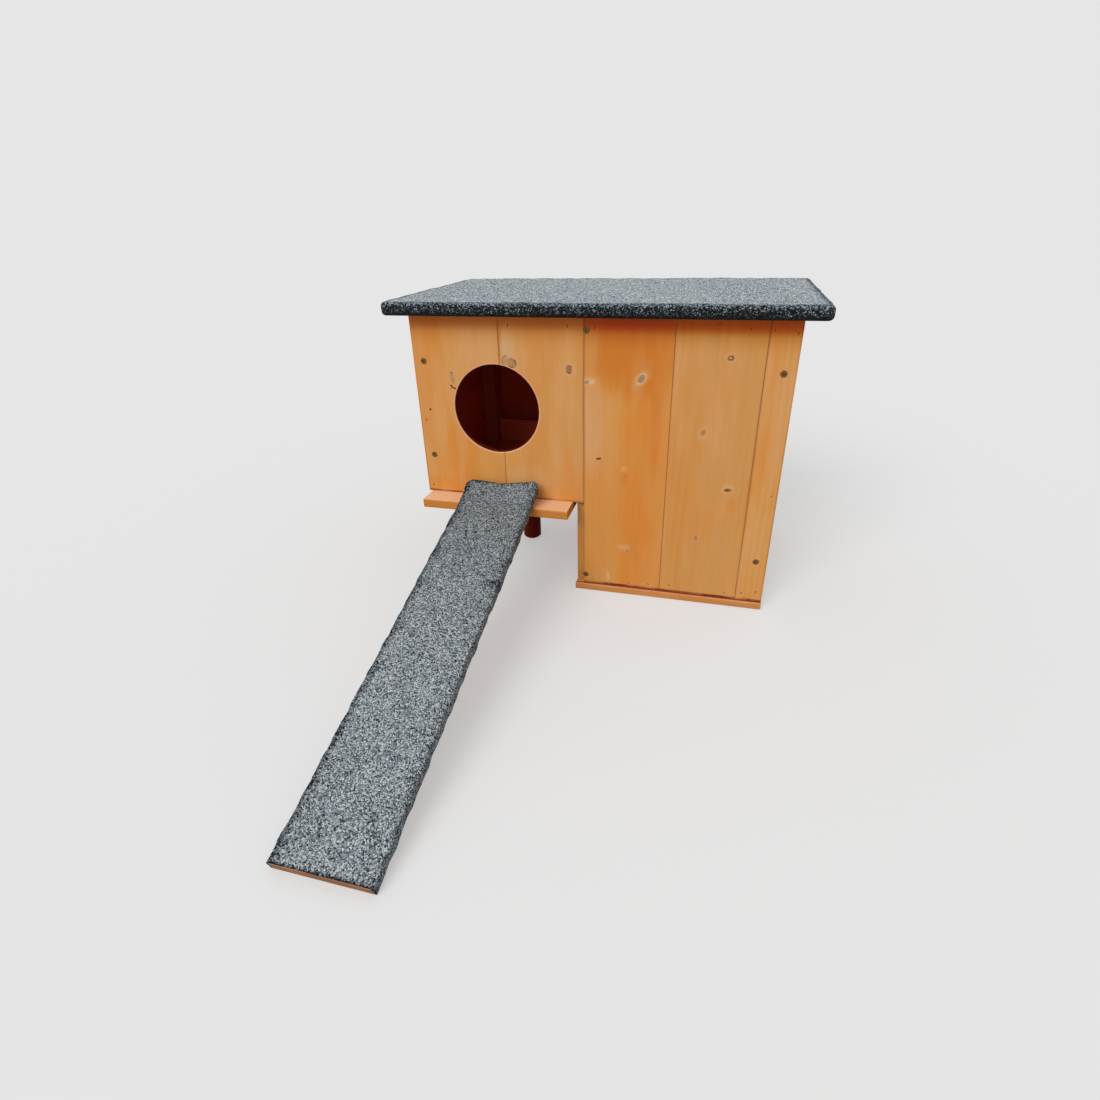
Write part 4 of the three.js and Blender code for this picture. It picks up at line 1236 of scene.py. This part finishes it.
def seen_itself(tree):
    """1 for rays of the camera, of a mirror or through glass, and 0 for rays that only light."""
    rays = put(tree, "ShaderNodeLightPath")
    mirrored = calc("MAXIMUM", rays["Is Glossy Ray"], rays["Is Transmission Ray"])
    return calc("MAXIMUM", rays["Is Camera Ray"], mirrored)


floor_mesh = bpy.data.meshes.new("floor")
corners = np.array([(-1, -1), (1, -1), (1, 1), (-1, 1)]) * floor_reach
floor_mesh.from_pydata([(x, y, -floor_gap) for x, y in corners.tolist()], [], [(0, 1, 2, 3)])
floor = added("floor", floor_mesh)
floor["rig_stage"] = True
paper, tree, shader = new_material("floor_paper")
shader.inputs["Roughness"].default_value = 0.9
shader.inputs["Specular IOR Level"].default_value = 0.0
far = fade(calc_vector("LENGTH", put(tree, "ShaderNodeTexCoord")["Object"]), *full_glow_from)
seen = seen_itself(tree)
wire(shader, {"Base Color": shade(seen, colour(floor_bounce_tone), colour(floor_tone))})
glow = put(tree, "ShaderNodeEmission", {"Color": colour(backdrop_tone), "Strength": 1.0})[0]
share = (far * (1 - own_glow) + own_glow) * seen
mixed = put(tree, "ShaderNodeMixShader", {0: share, 1: Signal(shader.outputs[0]), 2: glow})[0]
wire(tree.nodes["Material Output"], {"Surface": mixed})
floor_mesh.materials.append(paper)

world = bpy.data.worlds.new("studio")
bpy.context.scene.world = world
world.use_nodes = True
tree = world.node_tree
tree.nodes.clear()
sky = put(tree, "ShaderNodeBackground", {"Color": (1.0, 1.0, 1.0, 1.0), "Strength": sky_strength})[0]
backdrop = put(tree, "ShaderNodeBackground", {"Color": colour(backdrop_tone), "Strength": 1.0})[0]
mixed = put(tree, "ShaderNodeMixShader", {0: seen_itself(tree), 1: sky, 2: backdrop})[0]
put(tree, "ShaderNodeOutputWorld", {"Surface": mixed})

lamp_data = bpy.data.lights.new("key", "SUN")
lamp_data.energy = lamp_strength
lamp_data.angle = lamp_softness
lamp = added("key", lamp_data)
lamp.rotation_euler = lamp_turn

level = math.cos(camera_pitch)
forward = np.array([math.sin(camera_yaw) * level, math.cos(camera_yaw) * level, -math.sin(camera_pitch)])
level_right = np.array([math.cos(camera_yaw), -math.sin(camera_yaw), 0.0])
level_up = np.cross(level_right, forward)
side = level_right * math.cos(camera_roll) + level_up * math.sin(camera_roll)
up = level_up * math.cos(camera_roll) - level_right * math.sin(camera_roll)
camera_data = bpy.data.cameras.new("camera")
camera_data.sensor_width = sensor
camera_data.lens = sensor * focal_pixels / photo_pixels
camera = added("camera", camera_data)
pose = np.eye(4)
pose[:3, :3] = np.stack([side, up, -forward], axis=1)
pose[:3, 3] = camera_place
camera.matrix_world = Matrix(pose.tolist())
bpy.context.scene.camera = camera
bpy.context.scene.view_settings.view_transform = "Standard"

low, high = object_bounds()
